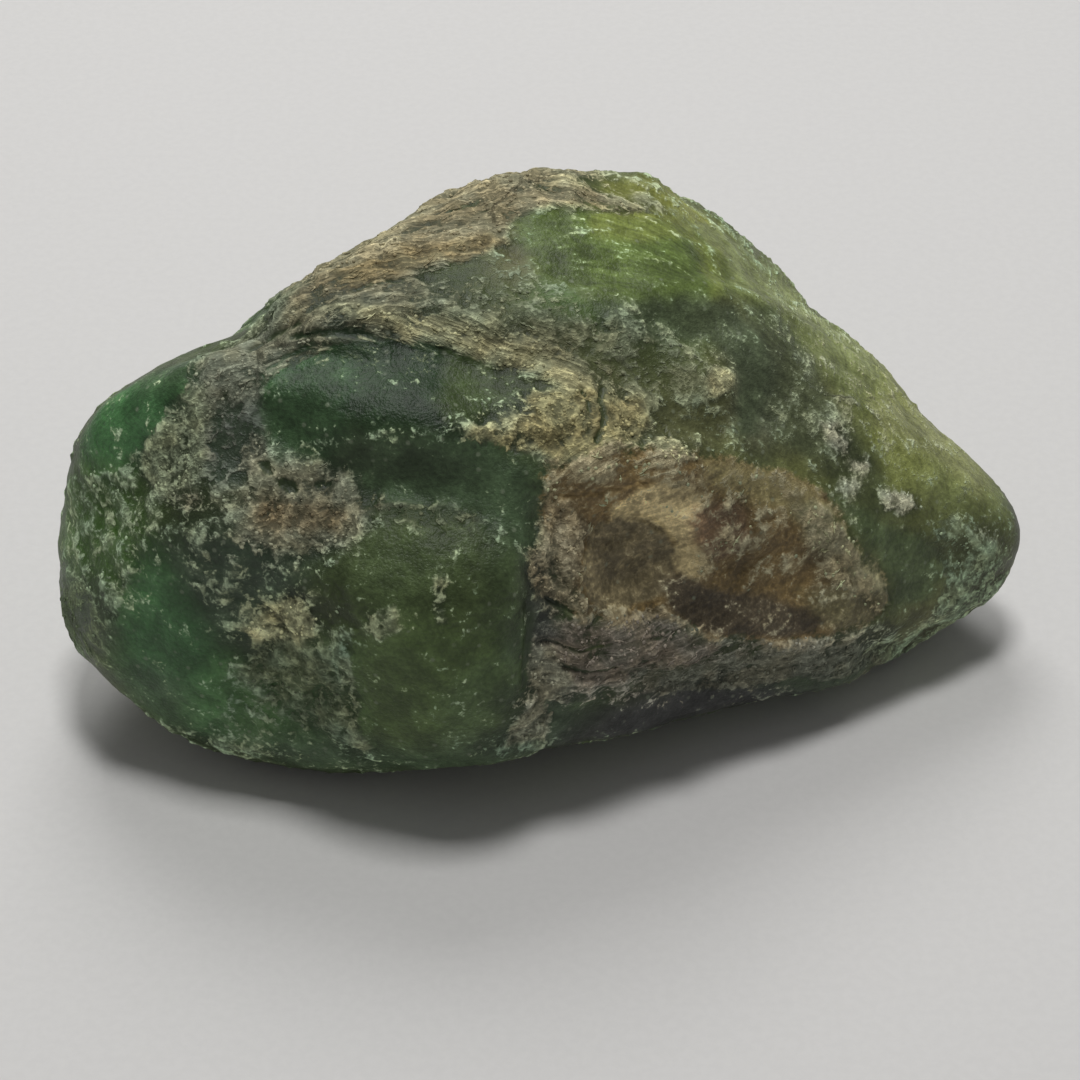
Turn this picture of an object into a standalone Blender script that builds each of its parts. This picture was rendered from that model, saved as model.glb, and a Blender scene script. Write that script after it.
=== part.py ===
"""Rough demantoid garnet: one water-worn nodule, built as one solid.

The stone starts as a ball of rays around its heart. Broken faces, each a plane at its own distance,
stop the rays, and their edges are worn round. Swells, hollows and ledges then move the surface in or out.
Places on the stone are given as on a globe: a bearing (0 to the right along +X, -90 to the front, 90 to
the back, 180 to the left) and an elevation above the heart's level, both in degrees. Sizes are in
millimetres and become metres when the mesh is written. The stone lies on the plane Z = 0.
"""

import math
from collections import namedtuple

import bmesh
import bpy
import numpy as np
from mathutils import Vector, noise

MM = 0.001

# Driving dimensions
HEART_HEIGHT = 4.45  # of the heart above what the stone lies on
SWEEP = 2.9  # how far the narrow end is carried back and down
SWEEP_START, SWEEP_END = -2.0, 9.9  # along X from the heart: where that begins, and the narrow end
SWEEP_POWER = 1.3  # the higher, the more of the bend lies near the narrow end
SWEEP_ELEVATION = -40  # of the direction it is carried in, towards the back
EDGE_SHARPNESS = 20  # the higher, the crisper the worn edge between two faces
GRID = 28  # squares along each side of the cube that the ball of rays comes from
SNAP = 0.12  # a point this near the resting plane is moved onto it

Face = namedtuple("Face", "bearing elevation distance")
FACES = {
    # top and crest
    "crest": Face(90, 50, 6.75),
    "dome": Face(-80, 76, 5.1),
    "right_slope": Face(15, 55, 6.2),
    "back_left_slope": Face(136, 41, 6.2),
    "back_right_slope": Face(35, 34, 7.36),
    # front
    "front_slope": Face(-95, 42, 4.9),
    "front_right_slope": Face(-68, 40, 4.95),
    "front_left_wall": Face(-106, 0, 5.45),
    "front_right_wall": Face(-74, 12, 4.72),
    "left_front": Face(-148.5, 15, 8.45),
    # the two ends
    "left_shoulder": Face(150, 31, 8.15),
    "left_end": Face(180, -10, 10.78),
    "left_lower": Face(-154, -28, 10.2),
    "right_shoulder": Face(13, 15, 10.35),
    "right_end": Face(-7, -8, 11.4),
    # back
    "back_wall": Face(88, 4, 6.3),
    "back_right_wall": Face(45, -3, 6.9),
    "back_left_wall": Face(135, -3, 7.3),
    # under the widest part
    "left_underside": Face(-140, -39, 8.55),
    "left_deep_underside": Face(-178, -52, 7.6),
    "front_left_underside": Face(-98, -50, 6.0),
    "front_right_underside": Face(-72, -49, 4.95),
    "right_underside": Face(-38, -36, 7.7),
    "right_deep_underside": Face(0, -52, 7.3),
    "back_underside": Face(90, -45, 6.2),
    "back_right_underside": Face(40, -42, 7.0),
    "back_left_underside": Face(140, -42, 7.2),
    "underside": Face(0, -90, 5.1),
}

# height is above the surface (below it if negative); edge is 1 for a soft swell, near 0 for a step.
Form = namedtuple("Form", "bearing elevation half_length half_width turn height edge")
FORMS = {
    # left end
    "left_lobe": Form(-178, 16, 1.5, 1.5, 0, 0.35, 0.8),
    "left_notch": Form(172, 22, 0.5, 0.4, 0, -0.3, 0.6),
    "left_heel": Form(-168, -8, 1.3, 1.2, 0, 0.28, 0.8),
    "lower_left_lobe": Form(-150, -8, 2.4, 2.2, 0, 0.4, 0.9),
    "left_valley": Form(-160, 32, 2.8, 0.8, 75, -0.55, 0.9),
    "valley_head": Form(-170, 41, 1.4, 0.6, 55, -0.75, 0.8),
    "crest_dip": Form(170, 36, 1.0, 0.8, 30, -0.35, 0.9),
    "crest_shoulder": Form(150, 30, 1.0, 0.9, 30, 0.2, 0.9),
    # upper front and crest
    "upper_left_dome": Form(-148, 47, 1.9, 1.1, 8, 0.5, 0.6),
    "trough_under_dome": Form(-125, 38, 2.2, 0.5, 5, -0.35, 0.9),
    "yellow_mound": Form(-72, 56, 1.2, 0.8, 0, 0.25, 0.8),
    "saddle": Form(-85, 68, 3.0, 0.7, -8, -0.3, 0.9),
    "crest_left_corner": Form(118, 46, 1.0, 1.0, 0, 0.25, 0.9),
    "top_knob": Form(64, 48, 0.8, 0.7, 0, 0.3, 0.8),
    "right_edge": Form(5, 58, 2.5, 0.4, -75, 0.2, 0.9),
    "right_groove": Form(-15, 48, 1.7, 0.4, 80, -0.25, 0.9),
    "right_swell": Form(14, 19, 1.8, 0.9, -30, 0.25, 0.9),
    # lower front
    "front_lobe": Form(-114, 4, 2.2, 2.2, 0, 0.3, 0.7),
    "lobe_valley": Form(-140, 0, 2.4, 0.7, 80, -0.25, 0.9),
    "lobe_step": Form(-89, 12, 2.4, 0.4, 88, -0.4, 0.8),
    "rust_hollow": Form(-141, 26, 1.4, 0.9, 0, -0.25, 0.6),
    # iron-stained pocket and its ledge
    "iron_pocket": Form(-65, 22, 1.1, 0.95, 0, -0.4, 0.4),
    "pocket_trough": Form(-42, 8, 2.4, 0.8, -12, -0.35, 0.5),
    "pocket_shelf": Form(-58, 42, 2.8, 0.5, -12, 0.3, 0.6),
    "pocket_tip": Form(-26, 2, 0.9, 0.4, 70, 0.25, 0.8),
    "ledge_undercut": Form(-58, -17, 3.0, 0.6, 6, -0.4, 0.7),
    # right tip
    "right_lip": Form(-13, -8, 1.2, 0.6, 10, 0.5, 0.8),
    "lip_undercut": Form(-18, -10, 1.0, 0.5, 25, -0.9, 0.8),
    "lip_corner": Form(-29, -16, 0.8, 0.6, 0, 0.35, 0.8),
    # back
    "back_hollow": Form(100, 12, 3.0, 1.8, 20, -0.5, 0.9),
    "back_swell": Form(55, 8, 2.2, 1.6, -30, 0.45, 0.9),
    "back_ledge": Form(140, 5, 2.6, 0.7, -15, 0.4, 0.6),
    "back_ledge_undercut": Form(138, -10, 2.6, 0.6, -15, -0.35, 0.7),
}

# Uneven wear over the whole stone
WEAR_HEIGHT = 0.18
WEAR_SPAN = 3.0  # from one rise to the next
WEAR_PLACE = Vector((7.3, 2.1, 5.6))  # which part of the endless noise is used


def toward(bearing, elevation):
    """The unit vector from the heart in that direction."""
    b, e = math.radians(bearing), math.radians(elevation)
    return np.array((math.cos(e) * math.cos(b), math.cos(e) * math.sin(b), math.sin(e)))


def worn_block(rays):
    """How far the faces let each ray go. The power sum rounds the edges between them."""
    crowding = np.zeros(len(rays))
    for face in FACES.values():
        facing = np.clip(rays @ toward(face.bearing, face.elevation), 0, None)
        crowding += (facing / face.distance) ** EDGE_SHARPNESS
    return crowding ** (-1 / EDGE_SHARPNESS)


def smooth_step(x):
    x = np.clip(x, 0, 1)
    return x * x * (3 - 2 * x)


def form_height(form, rays, block):
    """What one swell, hollow or ledge adds along each ray."""
    up = toward(form.bearing, form.elevation)
    centre = up * worn_block(up[None])[0]
    east = np.cross((0, 0, 1), up)
    east /= np.linalg.norm(east)
    north = np.cross(up, east)
    turn = math.radians(form.turn)
    along = math.cos(turn) * east + math.sin(turn) * north
    across = math.cos(turn) * north - math.sin(turn) * east
    offset = rays * block[:, None] - centre
    reach = np.hypot(offset @ along / form.half_length, offset @ across / form.half_width)
    share = smooth_step((1 + form.edge - reach) / (2 * form.edge))
    return form.height * share * (rays @ up > 0)


def wear(point):
    return WEAR_HEIGHT * noise.fractal(point / WEAR_SPAN + WEAR_PLACE, 1.0, 2.0, 4)


def sweep(x):
    """The narrow end bends back and down, so that it lies close to the ground."""
    share = max(0, (x - SWEEP_START) / (SWEEP_END - SWEEP_START)) ** SWEEP_POWER
    return Vector(toward(90, SWEEP_ELEVATION)) * SWEEP * share


def make_rays(mesh):
    """A cube with a grid on each side, its points pushed out onto a ball of radius 1."""
    bmesh.ops.create_cube(mesh, size=2)
    bmesh.ops.subdivide_edges(mesh, edges=mesh.edges[:], cuts=GRID - 1, use_grid_fill=True)
    for vertex in mesh.verts:
        # tan spreads the squares more evenly over the ball
        vertex.co = Vector(math.tan(c * math.pi / 4) for c in vertex.co).normalized()
    return np.array([vertex.co for vertex in mesh.verts])


def shape_stone(mesh):
    rays = make_rays(mesh)
    block = worn_block(rays)
    radius = block.copy()
    for form in FORMS.values():
        radius += form_height(form, rays, block)
    for vertex, ray, reach in zip(mesh.verts, rays, radius):
        point = Vector(ray * reach)
        vertex.co = point + Vector(ray) * wear(point) + sweep(point.x)
        vertex.co.z += HEART_HEIGHT
        if abs(vertex.co.z) < SNAP:
            vertex.co.z = 0


def cut_resting_face(mesh):
    """Everything under the resting plane goes, and one flat face closes the cut."""
    everything = mesh.verts[:] + mesh.edges[:] + mesh.faces[:]
    cut = bmesh.ops.bisect_plane(
        mesh, geom=everything, dist=1e-5, plane_co=(0, 0, 0), plane_no=(0, 0, -1), clear_outer=True
    )
    rim = [e for e in cut["geom_cut"] if isinstance(e, bmesh.types.BMEdge)]
    bmesh.ops.contextual_create(mesh, geom=rim)


def centre_on_origin(mesh):
    """The origin goes under the middle of the stone's box, on the resting plane."""
    places = np.array([vertex.co for vertex in mesh.verts])
    middle = (places.min(0) + places.max(0)) / 2
    for vertex in mesh.verts:
        vertex.co.x -= middle[0]
        vertex.co.y -= middle[1]
    return middle


def stone_material():
    material = bpy.data.materials.new("demantoid")
    material.use_nodes = True
    shader = material.node_tree.nodes["Principled BSDF"]
    shader.inputs["Base Color"].default_value = (0.06, 0.12, 0.03, 1)
    shader.inputs["Roughness"].default_value = 0.55
    shader.inputs["Metallic"].default_value = 0
    return material


def make_stone():
    mesh = bmesh.new()
    shape_stone(mesh)
    cut_resting_face(mesh)
    middle = centre_on_origin(mesh)
    bmesh.ops.scale(mesh, vec=(MM, MM, MM), verts=mesh.verts)
    bmesh.ops.recalc_face_normals(mesh, faces=mesh.faces)
    data = bpy.data.meshes.new("garnet_nodule")
    mesh.to_mesh(data)
    mesh.free()
    data.shade_smooth()
    data.materials.append(stone_material())
    return bpy.data.objects.new("garnet_nodule", data), middle


def main():
    for old in list(bpy.data.objects):
        bpy.data.objects.remove(old)
    stone, middle = make_stone()
    collection = bpy.data.collections.new("rough_demantoid_garnet")
    bpy.context.scene.collection.children.link(collection)
    collection.objects.link(stone)
    print("size in mm", [round(side / MM, 2) for side in stone.dimensions])
    print("middle of the box from the heart in mm", middle.round(3))


main()
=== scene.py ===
# %% [markdown]
# # Rough demantoid garnet
# Demantoid is the green garnet. This one is a water-worn nodule about 20 mm long: smooth green windows
# where the stone shows through, and a pale, worm-eaten rind with brown iron stains where it doesn't.
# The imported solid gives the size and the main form. The cells below add what the eye looks for in the
# hand: the fine relief of the rind, the zones of green, the streaks, the specks and the short pale fibres.

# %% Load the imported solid
import math
from collections import namedtuple

import bmesh
import bpy
import numpy as np
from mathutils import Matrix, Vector, noise
from mathutils.bvhtree import BVHTree


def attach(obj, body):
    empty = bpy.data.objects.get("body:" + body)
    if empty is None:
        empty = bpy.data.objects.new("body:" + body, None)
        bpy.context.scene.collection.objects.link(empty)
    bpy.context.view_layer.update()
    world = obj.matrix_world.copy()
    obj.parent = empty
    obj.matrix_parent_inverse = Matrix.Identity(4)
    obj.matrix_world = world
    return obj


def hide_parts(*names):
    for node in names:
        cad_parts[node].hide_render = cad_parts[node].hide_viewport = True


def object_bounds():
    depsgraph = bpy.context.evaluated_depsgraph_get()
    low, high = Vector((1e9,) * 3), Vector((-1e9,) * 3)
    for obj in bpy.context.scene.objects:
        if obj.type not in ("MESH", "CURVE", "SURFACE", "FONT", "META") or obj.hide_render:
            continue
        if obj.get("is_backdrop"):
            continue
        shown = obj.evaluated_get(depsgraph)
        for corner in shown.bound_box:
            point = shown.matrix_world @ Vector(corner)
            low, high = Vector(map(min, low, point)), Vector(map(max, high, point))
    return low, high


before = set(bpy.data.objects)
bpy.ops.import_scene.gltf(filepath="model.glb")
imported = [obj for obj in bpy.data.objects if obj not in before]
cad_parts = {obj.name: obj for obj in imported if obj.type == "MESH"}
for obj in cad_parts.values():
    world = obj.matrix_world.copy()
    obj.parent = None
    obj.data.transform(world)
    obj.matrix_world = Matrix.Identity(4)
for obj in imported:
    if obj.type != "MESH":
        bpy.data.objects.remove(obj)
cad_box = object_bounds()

MM = 0.001
low, high = cad_box
print("the solid in mm:", [round((h - l) / MM, 2) for l, h in zip(low, high)])

# %% [markdown]
# ## Camera
# A stone lies on a table and is looked at from above the front, here 40 degrees above the table. A long
# lens keeps its far side nearly as large as its near side. The camera aims a little below the stone's
# heart, the point that the solid's rays start from, because the stone's shadow needs room in the picture.

# %% The camera
HEART = Vector((-0.187, -0.800, 4.450)) * MM
LENS, SENSOR = 100.0, 36.0  # in mm
CAMERA_ELEVATION = math.radians(40)
VIEW_WIDTH = 22.222 * MM  # what the picture's width covers at the heart's distance
AIM_DROP = 0.823 * MM

back = Vector((0, -math.cos(CAMERA_ELEVATION), math.sin(CAMERA_ELEVATION)))
upward = Vector((0, math.sin(CAMERA_ELEVATION), math.cos(CAMERA_ELEVATION)))
aim = HEART - upward * AIM_DROP
distance = VIEW_WIDTH / SENSOR * LENS

camera_data = bpy.data.cameras.new("camera")
camera_data.lens = LENS
camera_data.sensor_width = SENSOR
camera_data.clip_start = MM
camera = bpy.data.objects.new("camera", camera_data)
camera.location = aim + back * distance
camera.rotation_euler = (-back).to_track_quat("-Z", "Y").to_euler()
bpy.context.scene.collection.objects.link(camera)
bpy.context.scene.camera = camera
print("camera at", [round(c / MM, 1) for c in camera.location], "mm")

# %% [markdown]
# ## A finer skin
# The solid has under eight thousand triangles, enough for its lumps and ledges. The rind's relief is a
# tenth of that size, so the skin needs many more points. Sculpting would do, but a subdivision surface
# keeps the solid's form and adds evenly spaced points. The copy's loose triangles are merged and paired
# into quads first, because subdivision flows along quads and puckers where many triangles meet.

# %% Copy, merge and subdivide
SUBDIVISIONS = 2
FLAT_RIM = 0.35  # in mm: nearer than this to the table, the skin keeps the solid's own flat foot


def triangles_in(piece):
    return sum(len(p.vertices) - 2 for p in piece.data.polygons)


def plain_mesh(source, name):
    """What the object looks like with its modifiers, as a new mesh object without any."""
    graph = bpy.context.evaluated_depsgraph_get()
    mesh = bpy.data.meshes.new_from_object(source.evaluated_get(graph))
    mesh.name = name
    made = bpy.data.objects.new(name, mesh)
    bpy.context.scene.collection.objects.link(made)
    return made


def coordinates(mesh):
    """The mesh's points in mm, one row each."""
    flat = np.empty(len(mesh.vertices) * 3)
    mesh.vertices.foreach_get("co", flat)
    return flat.reshape(-1, 3) / MM


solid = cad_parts["garnet_nodule"]
build = bmesh.new()
build.from_mesh(solid.data)
bmesh.ops.remove_doubles(build, verts=build.verts, dist=1e-7)
flat_foot = [f for f in build.faces if f.calc_center_median().z < 1e-6]
bmesh.ops.dissolve_faces(build, faces=flat_foot)
bmesh.ops.join_triangles(
    build, faces=build.faces, angle_face_threshold=1.0, angle_shape_threshold=1.0, topology_influence=1
)
rough_mesh = bpy.data.meshes.new("rough_form")
build.to_mesh(rough_mesh)
build.free()
rough_form = bpy.data.objects.new("rough_form", rough_mesh)
bpy.context.scene.collection.objects.link(rough_form)
finer = rough_form.modifiers.new("finer", "SUBSURF")
finer.levels = finer.render_levels = SUBDIVISIONS
skin = plain_mesh(rough_form, "skin")
bpy.data.objects.remove(rough_form)
points = coordinates(skin.data)
quads = sum(len(p.vertices) == 4 for p in rough_mesh.polygons)
print(f"{quads} quads of {len(rough_mesh.polygons)} faces become {len(points)} points")

# %% [markdown]
# ## Places on the stone
# A marking needs a place that holds from every side. The stone is treated as a globe around its heart:
# a bearing (0 to the right, -90 to the front, 90 to the back, 180 to the left) and an elevation, both in
# degrees. A patch is an oval there, with half sizes in mm, a turn, and a soft edge. An area is the same with
# corners of its own. Noise bends their edges, since nothing on a worn pebble has a clean edge. What the
# patches add up to is kept on each point of the mesh, so that it stays put from every side and survives
# export. A painted picture would do too, but the stone would have to be unwrapped for it first.

# %% Patches
Patch = namedtuple("Patch", "bearing elevation half_length half_width turn edge strength tone")
Outline = namedtuple("Outline", "bearing elevation corners")
Line = namedtuple("Line", "bearing elevation width corners")
Area = namedtuple("Area", "bearing elevation tone strength edge corners")
WANDER, WANDER_SPAN = 0.16, 1.3  # in mm: how far a patch's edge strays, and over what distance
FRAY, FRAY_SPAN = 0.10, 0.35
STRAY_SEED = 2  # without a seed this noise starts from the clock, and edges would stray anew each time
noise.seed_set(STRAY_SEED)
FAR_OFF = 99.0  # in mm, or in patch sizes: farther than anything on the stone
OUT_OF_SIGHT = -9.0  # the depth of a point round the back, in mm

heart = np.array(HEART) / MM
form_tree = BVHTree.FromPolygons(
    [v.co for v in rough_mesh.vertices], [tuple(p.vertices) for p in rough_mesh.polygons]
)


def toward(bearing, elevation):
    """The unit vector from the heart in that direction."""
    b, e = math.radians(bearing), math.radians(elevation)
    return np.array((math.cos(e) * math.cos(b), math.cos(e) * math.sin(b), math.sin(e)))


def strayed(points):
    """The points, moved by a slow and a quick noise. Patches are measured from these."""
    moved = np.array(points)
    for span, reach in ((WANDER_SPAN, WANDER), (FRAY_SPAN, FRAY)):
        moved += reach * np.array([noise.noise_vector(Vector(p) / span) for p in points])
    return moved


def smooth_step(x):
    """0 up to 0 and 1 from 1 on, with a soft start and end."""
    x = np.clip(x, 0, 1)
    return x * x * (3 - 2 * x)


def compass(place):
    """Which way is up, east and north at a place on the globe."""
    up = toward(place.bearing, place.elevation)
    east = np.cross((0, 0, 1), up)
    east /= np.linalg.norm(east)
    return up, east, np.cross(up, east)


def flat_view(place, points):
    """The points as seen from outside: mm to the east and north of a place, and whether they face it."""
    up, east, north = compass(place)
    middle = np.array(form_tree.ray_cast(HEART, Vector(up))[0]) / MM
    offset = points - middle
    return offset @ east, offset @ north, (points - heart) @ up > 0


def reach_of(patch, points):
    """0 at the middle of a patch, 1 at its outline, more beyond it."""
    x, y, facing = flat_view(patch, points)
    turn = math.radians(patch.turn)
    along = math.cos(turn) * x + math.sin(turn) * y
    across = math.cos(turn) * y - math.sin(turn) * x
    reach = np.hypot(along / patch.half_length, across / patch.half_width)
    return np.where(facing, reach, FAR_OFF)


def share_of(patch, points):
    """How much of an oval each point has: 1 inside, 0 outside, in between along its soft edge."""
    return smooth_step((1 + patch.edge - reach_of(patch, points)) / (2 * patch.edge))


def distance_to_path(x, y, corners):
    """How far each point is from the nearest stretch between two corners."""
    nearest = np.full(len(x), FAR_OFF)
    for (x0, y0), (x1, y1) in zip(corners, corners[1:]):
        dx, dy = x1 - x0, y1 - y0
        along = np.clip(((x - x0) * dx + (y - y0) * dy) / (dx * dx + dy * dy + 1e-9), 0, 1)
        nearest = np.minimum(nearest, np.hypot(x - x0 - along * dx, y - y0 - along * dy))
    return nearest


def depth_inside(outline, points):
    """How deep each point is inside a closed outline, in mm; negative outside it."""
    x, y, facing = flat_view(outline, points)
    corners = outline.corners + outline.corners[:1]
    inside = np.zeros(len(x), bool)
    for (x0, y0), (x1, y1) in zip(corners, corners[1:]):
        if y0 != y1:
            inside ^= ((y0 > y) != (y1 > y)) & (x < (x1 - x0) * (y - y0) / (y1 - y0) + x0)
    depth = distance_to_path(x, y, corners)
    return np.where(facing, np.where(inside, depth, -depth), OUT_OF_SIGHT)


def share_in(patch, points):
    """The same for an oval patch or for an area with corners."""
    if isinstance(patch, Patch):
        return share_of(patch, points)
    return smooth_step(0.5 + depth_inside(patch, points) / (2 * patch.edge))


def depth_on_line(line, points):
    """The same for a line: half its width on its middle, 0 at its edge, negative beyond."""
    x, y, facing = flat_view(line, points)
    depth = line.width / 2 - distance_to_path(x, y, line.corners)
    return np.where(facing, depth, OUT_OF_SIGHT)


wandering = strayed(points)
print("patch edges stray by up to", round(float(np.abs(wandering - points).max()), 2), "mm")

# %% [markdown]
# ## The greens under the rind
# Demantoid's colour comes from chromium and iron: emerald where chromium is high, olive where iron is, and
# nearly black where the stone is thick and clear. Each tone is a linear colour that the whole table below
# refers to by name. Patches are laid over each other like washes of paint, broad ones first. Some washes are
# painted light and shade rather than the stone's own colour: a glow where light shines through the thin left
# edge, and shade under the front overhang, at the front lobe's step and in the left valley.

# %% Body tones
TONES = {
    "moss": (0.144, 0.171, 0.057),
    "slate_green": (0.140, 0.130, 0.064),
    "silk": (0.280, 0.323, 0.126),
    # partly painted sheen: pale silk, and the whitish sheen where the right slope reflects the bright
    # surroundings
    "silk_and_sheen": (0.644, 0.478, 0.300),
    "lime": (0.283, 0.305, 0.072),
    "bottle": (0.084, 0.136, 0.072),
    "grass": (0.116, 0.165, 0.041),
    "leaf": (0.094, 0.206, 0.034),
    "leaf_dark": (0.063, 0.086, 0.031),
    "ink": (0.053, 0.055, 0.052),
    "ink_blue": (0.061, 0.092, 0.055),
    "emerald": (0.059, 0.147, 0.055),
    # painted glow: a brighter emerald where light shines through the stone's thin left edge
    "emerald_glow": (0.078, 0.215, 0.071),
    "deep": (0.065, 0.102, 0.050),
    "skin": (0.300, 0.365, 0.262),
    "skin_light": (0.069, 0.093, 0.028),
    "olive": (0.079, 0.113, 0.044),
    "olive_dark": (0.098, 0.226, 0.061),
    "olive_light": (0.088, 0.135, 0.044),
    "greige": (0.276, 0.286, 0.205),
    "slate": (0.084, 0.092, 0.088),
    "sage": (0.362, 0.459, 0.292),
    "tan": (0.404, 0.358, 0.222),
    "straw": (0.491, 0.476, 0.271),
    "straw_light": (0.654, 0.630, 0.355),
    "rust": (0.339, 0.236, 0.099),
    "rust_dark": (0.241, 0.158, 0.088),
    "bark": (0.361, 0.362, 0.248),
    "khaki": (0.380, 0.379, 0.270),
    "sand": (0.635, 0.632, 0.368),
    "mottle": (0.194, 0.232, 0.141),
    "khaki_dark": (0.225, 0.334, 0.243),
    "ochre": (0.213, 0.197, 0.098),
    "ochre_dark": (0.497, 0.432, 0.199),
    "brown": (0.236, 0.165, 0.067),
    "umber": (0.080, 0.066, 0.044),
    "bottle_deep": (0.012, 0.032, 0.010),
    "tip_shade": (0.091, 0.129, 0.055),
    "fern": (0.126, 0.139, 0.052),
    "slate_blue": (0.021, 0.042, 0.017),
    "greige_low": (0.072, 0.066, 0.038),
    "khaki_low": (0.320, 0.362, 0.222),
    "khaki_light": (0.336, 0.372, 0.218),
    "sage_low": (0.173, 0.168, 0.102),
    "lime_pale": (0.700, 0.760, 0.460),
    "eye_green": (0.040, 0.077, 0.033),
    "eye_olive": (0.046, 0.069, 0.022),
    "saddle_dark": (0.087, 0.112, 0.058),
    "glow": (0.254, 0.271, 0.108),
    "rust_heart": (0.240, 0.195, 0.113),
    "mint": (0.795, 0.800, 0.610),
    "mound": (0.406, 0.370, 0.186),
    "crest_rust": (0.319, 0.266, 0.144),
    "wedge": (0.694, 0.569, 0.297),
    "pane": (0.250, 0.208, 0.114),
    "buff": (0.387, 0.337, 0.217),
    "plum": (0.299, 0.258, 0.208),
    "plum_grey": (0.191, 0.200, 0.149),
    "greige_dark": (0.749, 0.678, 0.554),
    "grass_pale": (0.640, 0.791, 0.421),
}
print(len(TONES), "tones for the green, the stains and the rind")

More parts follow.
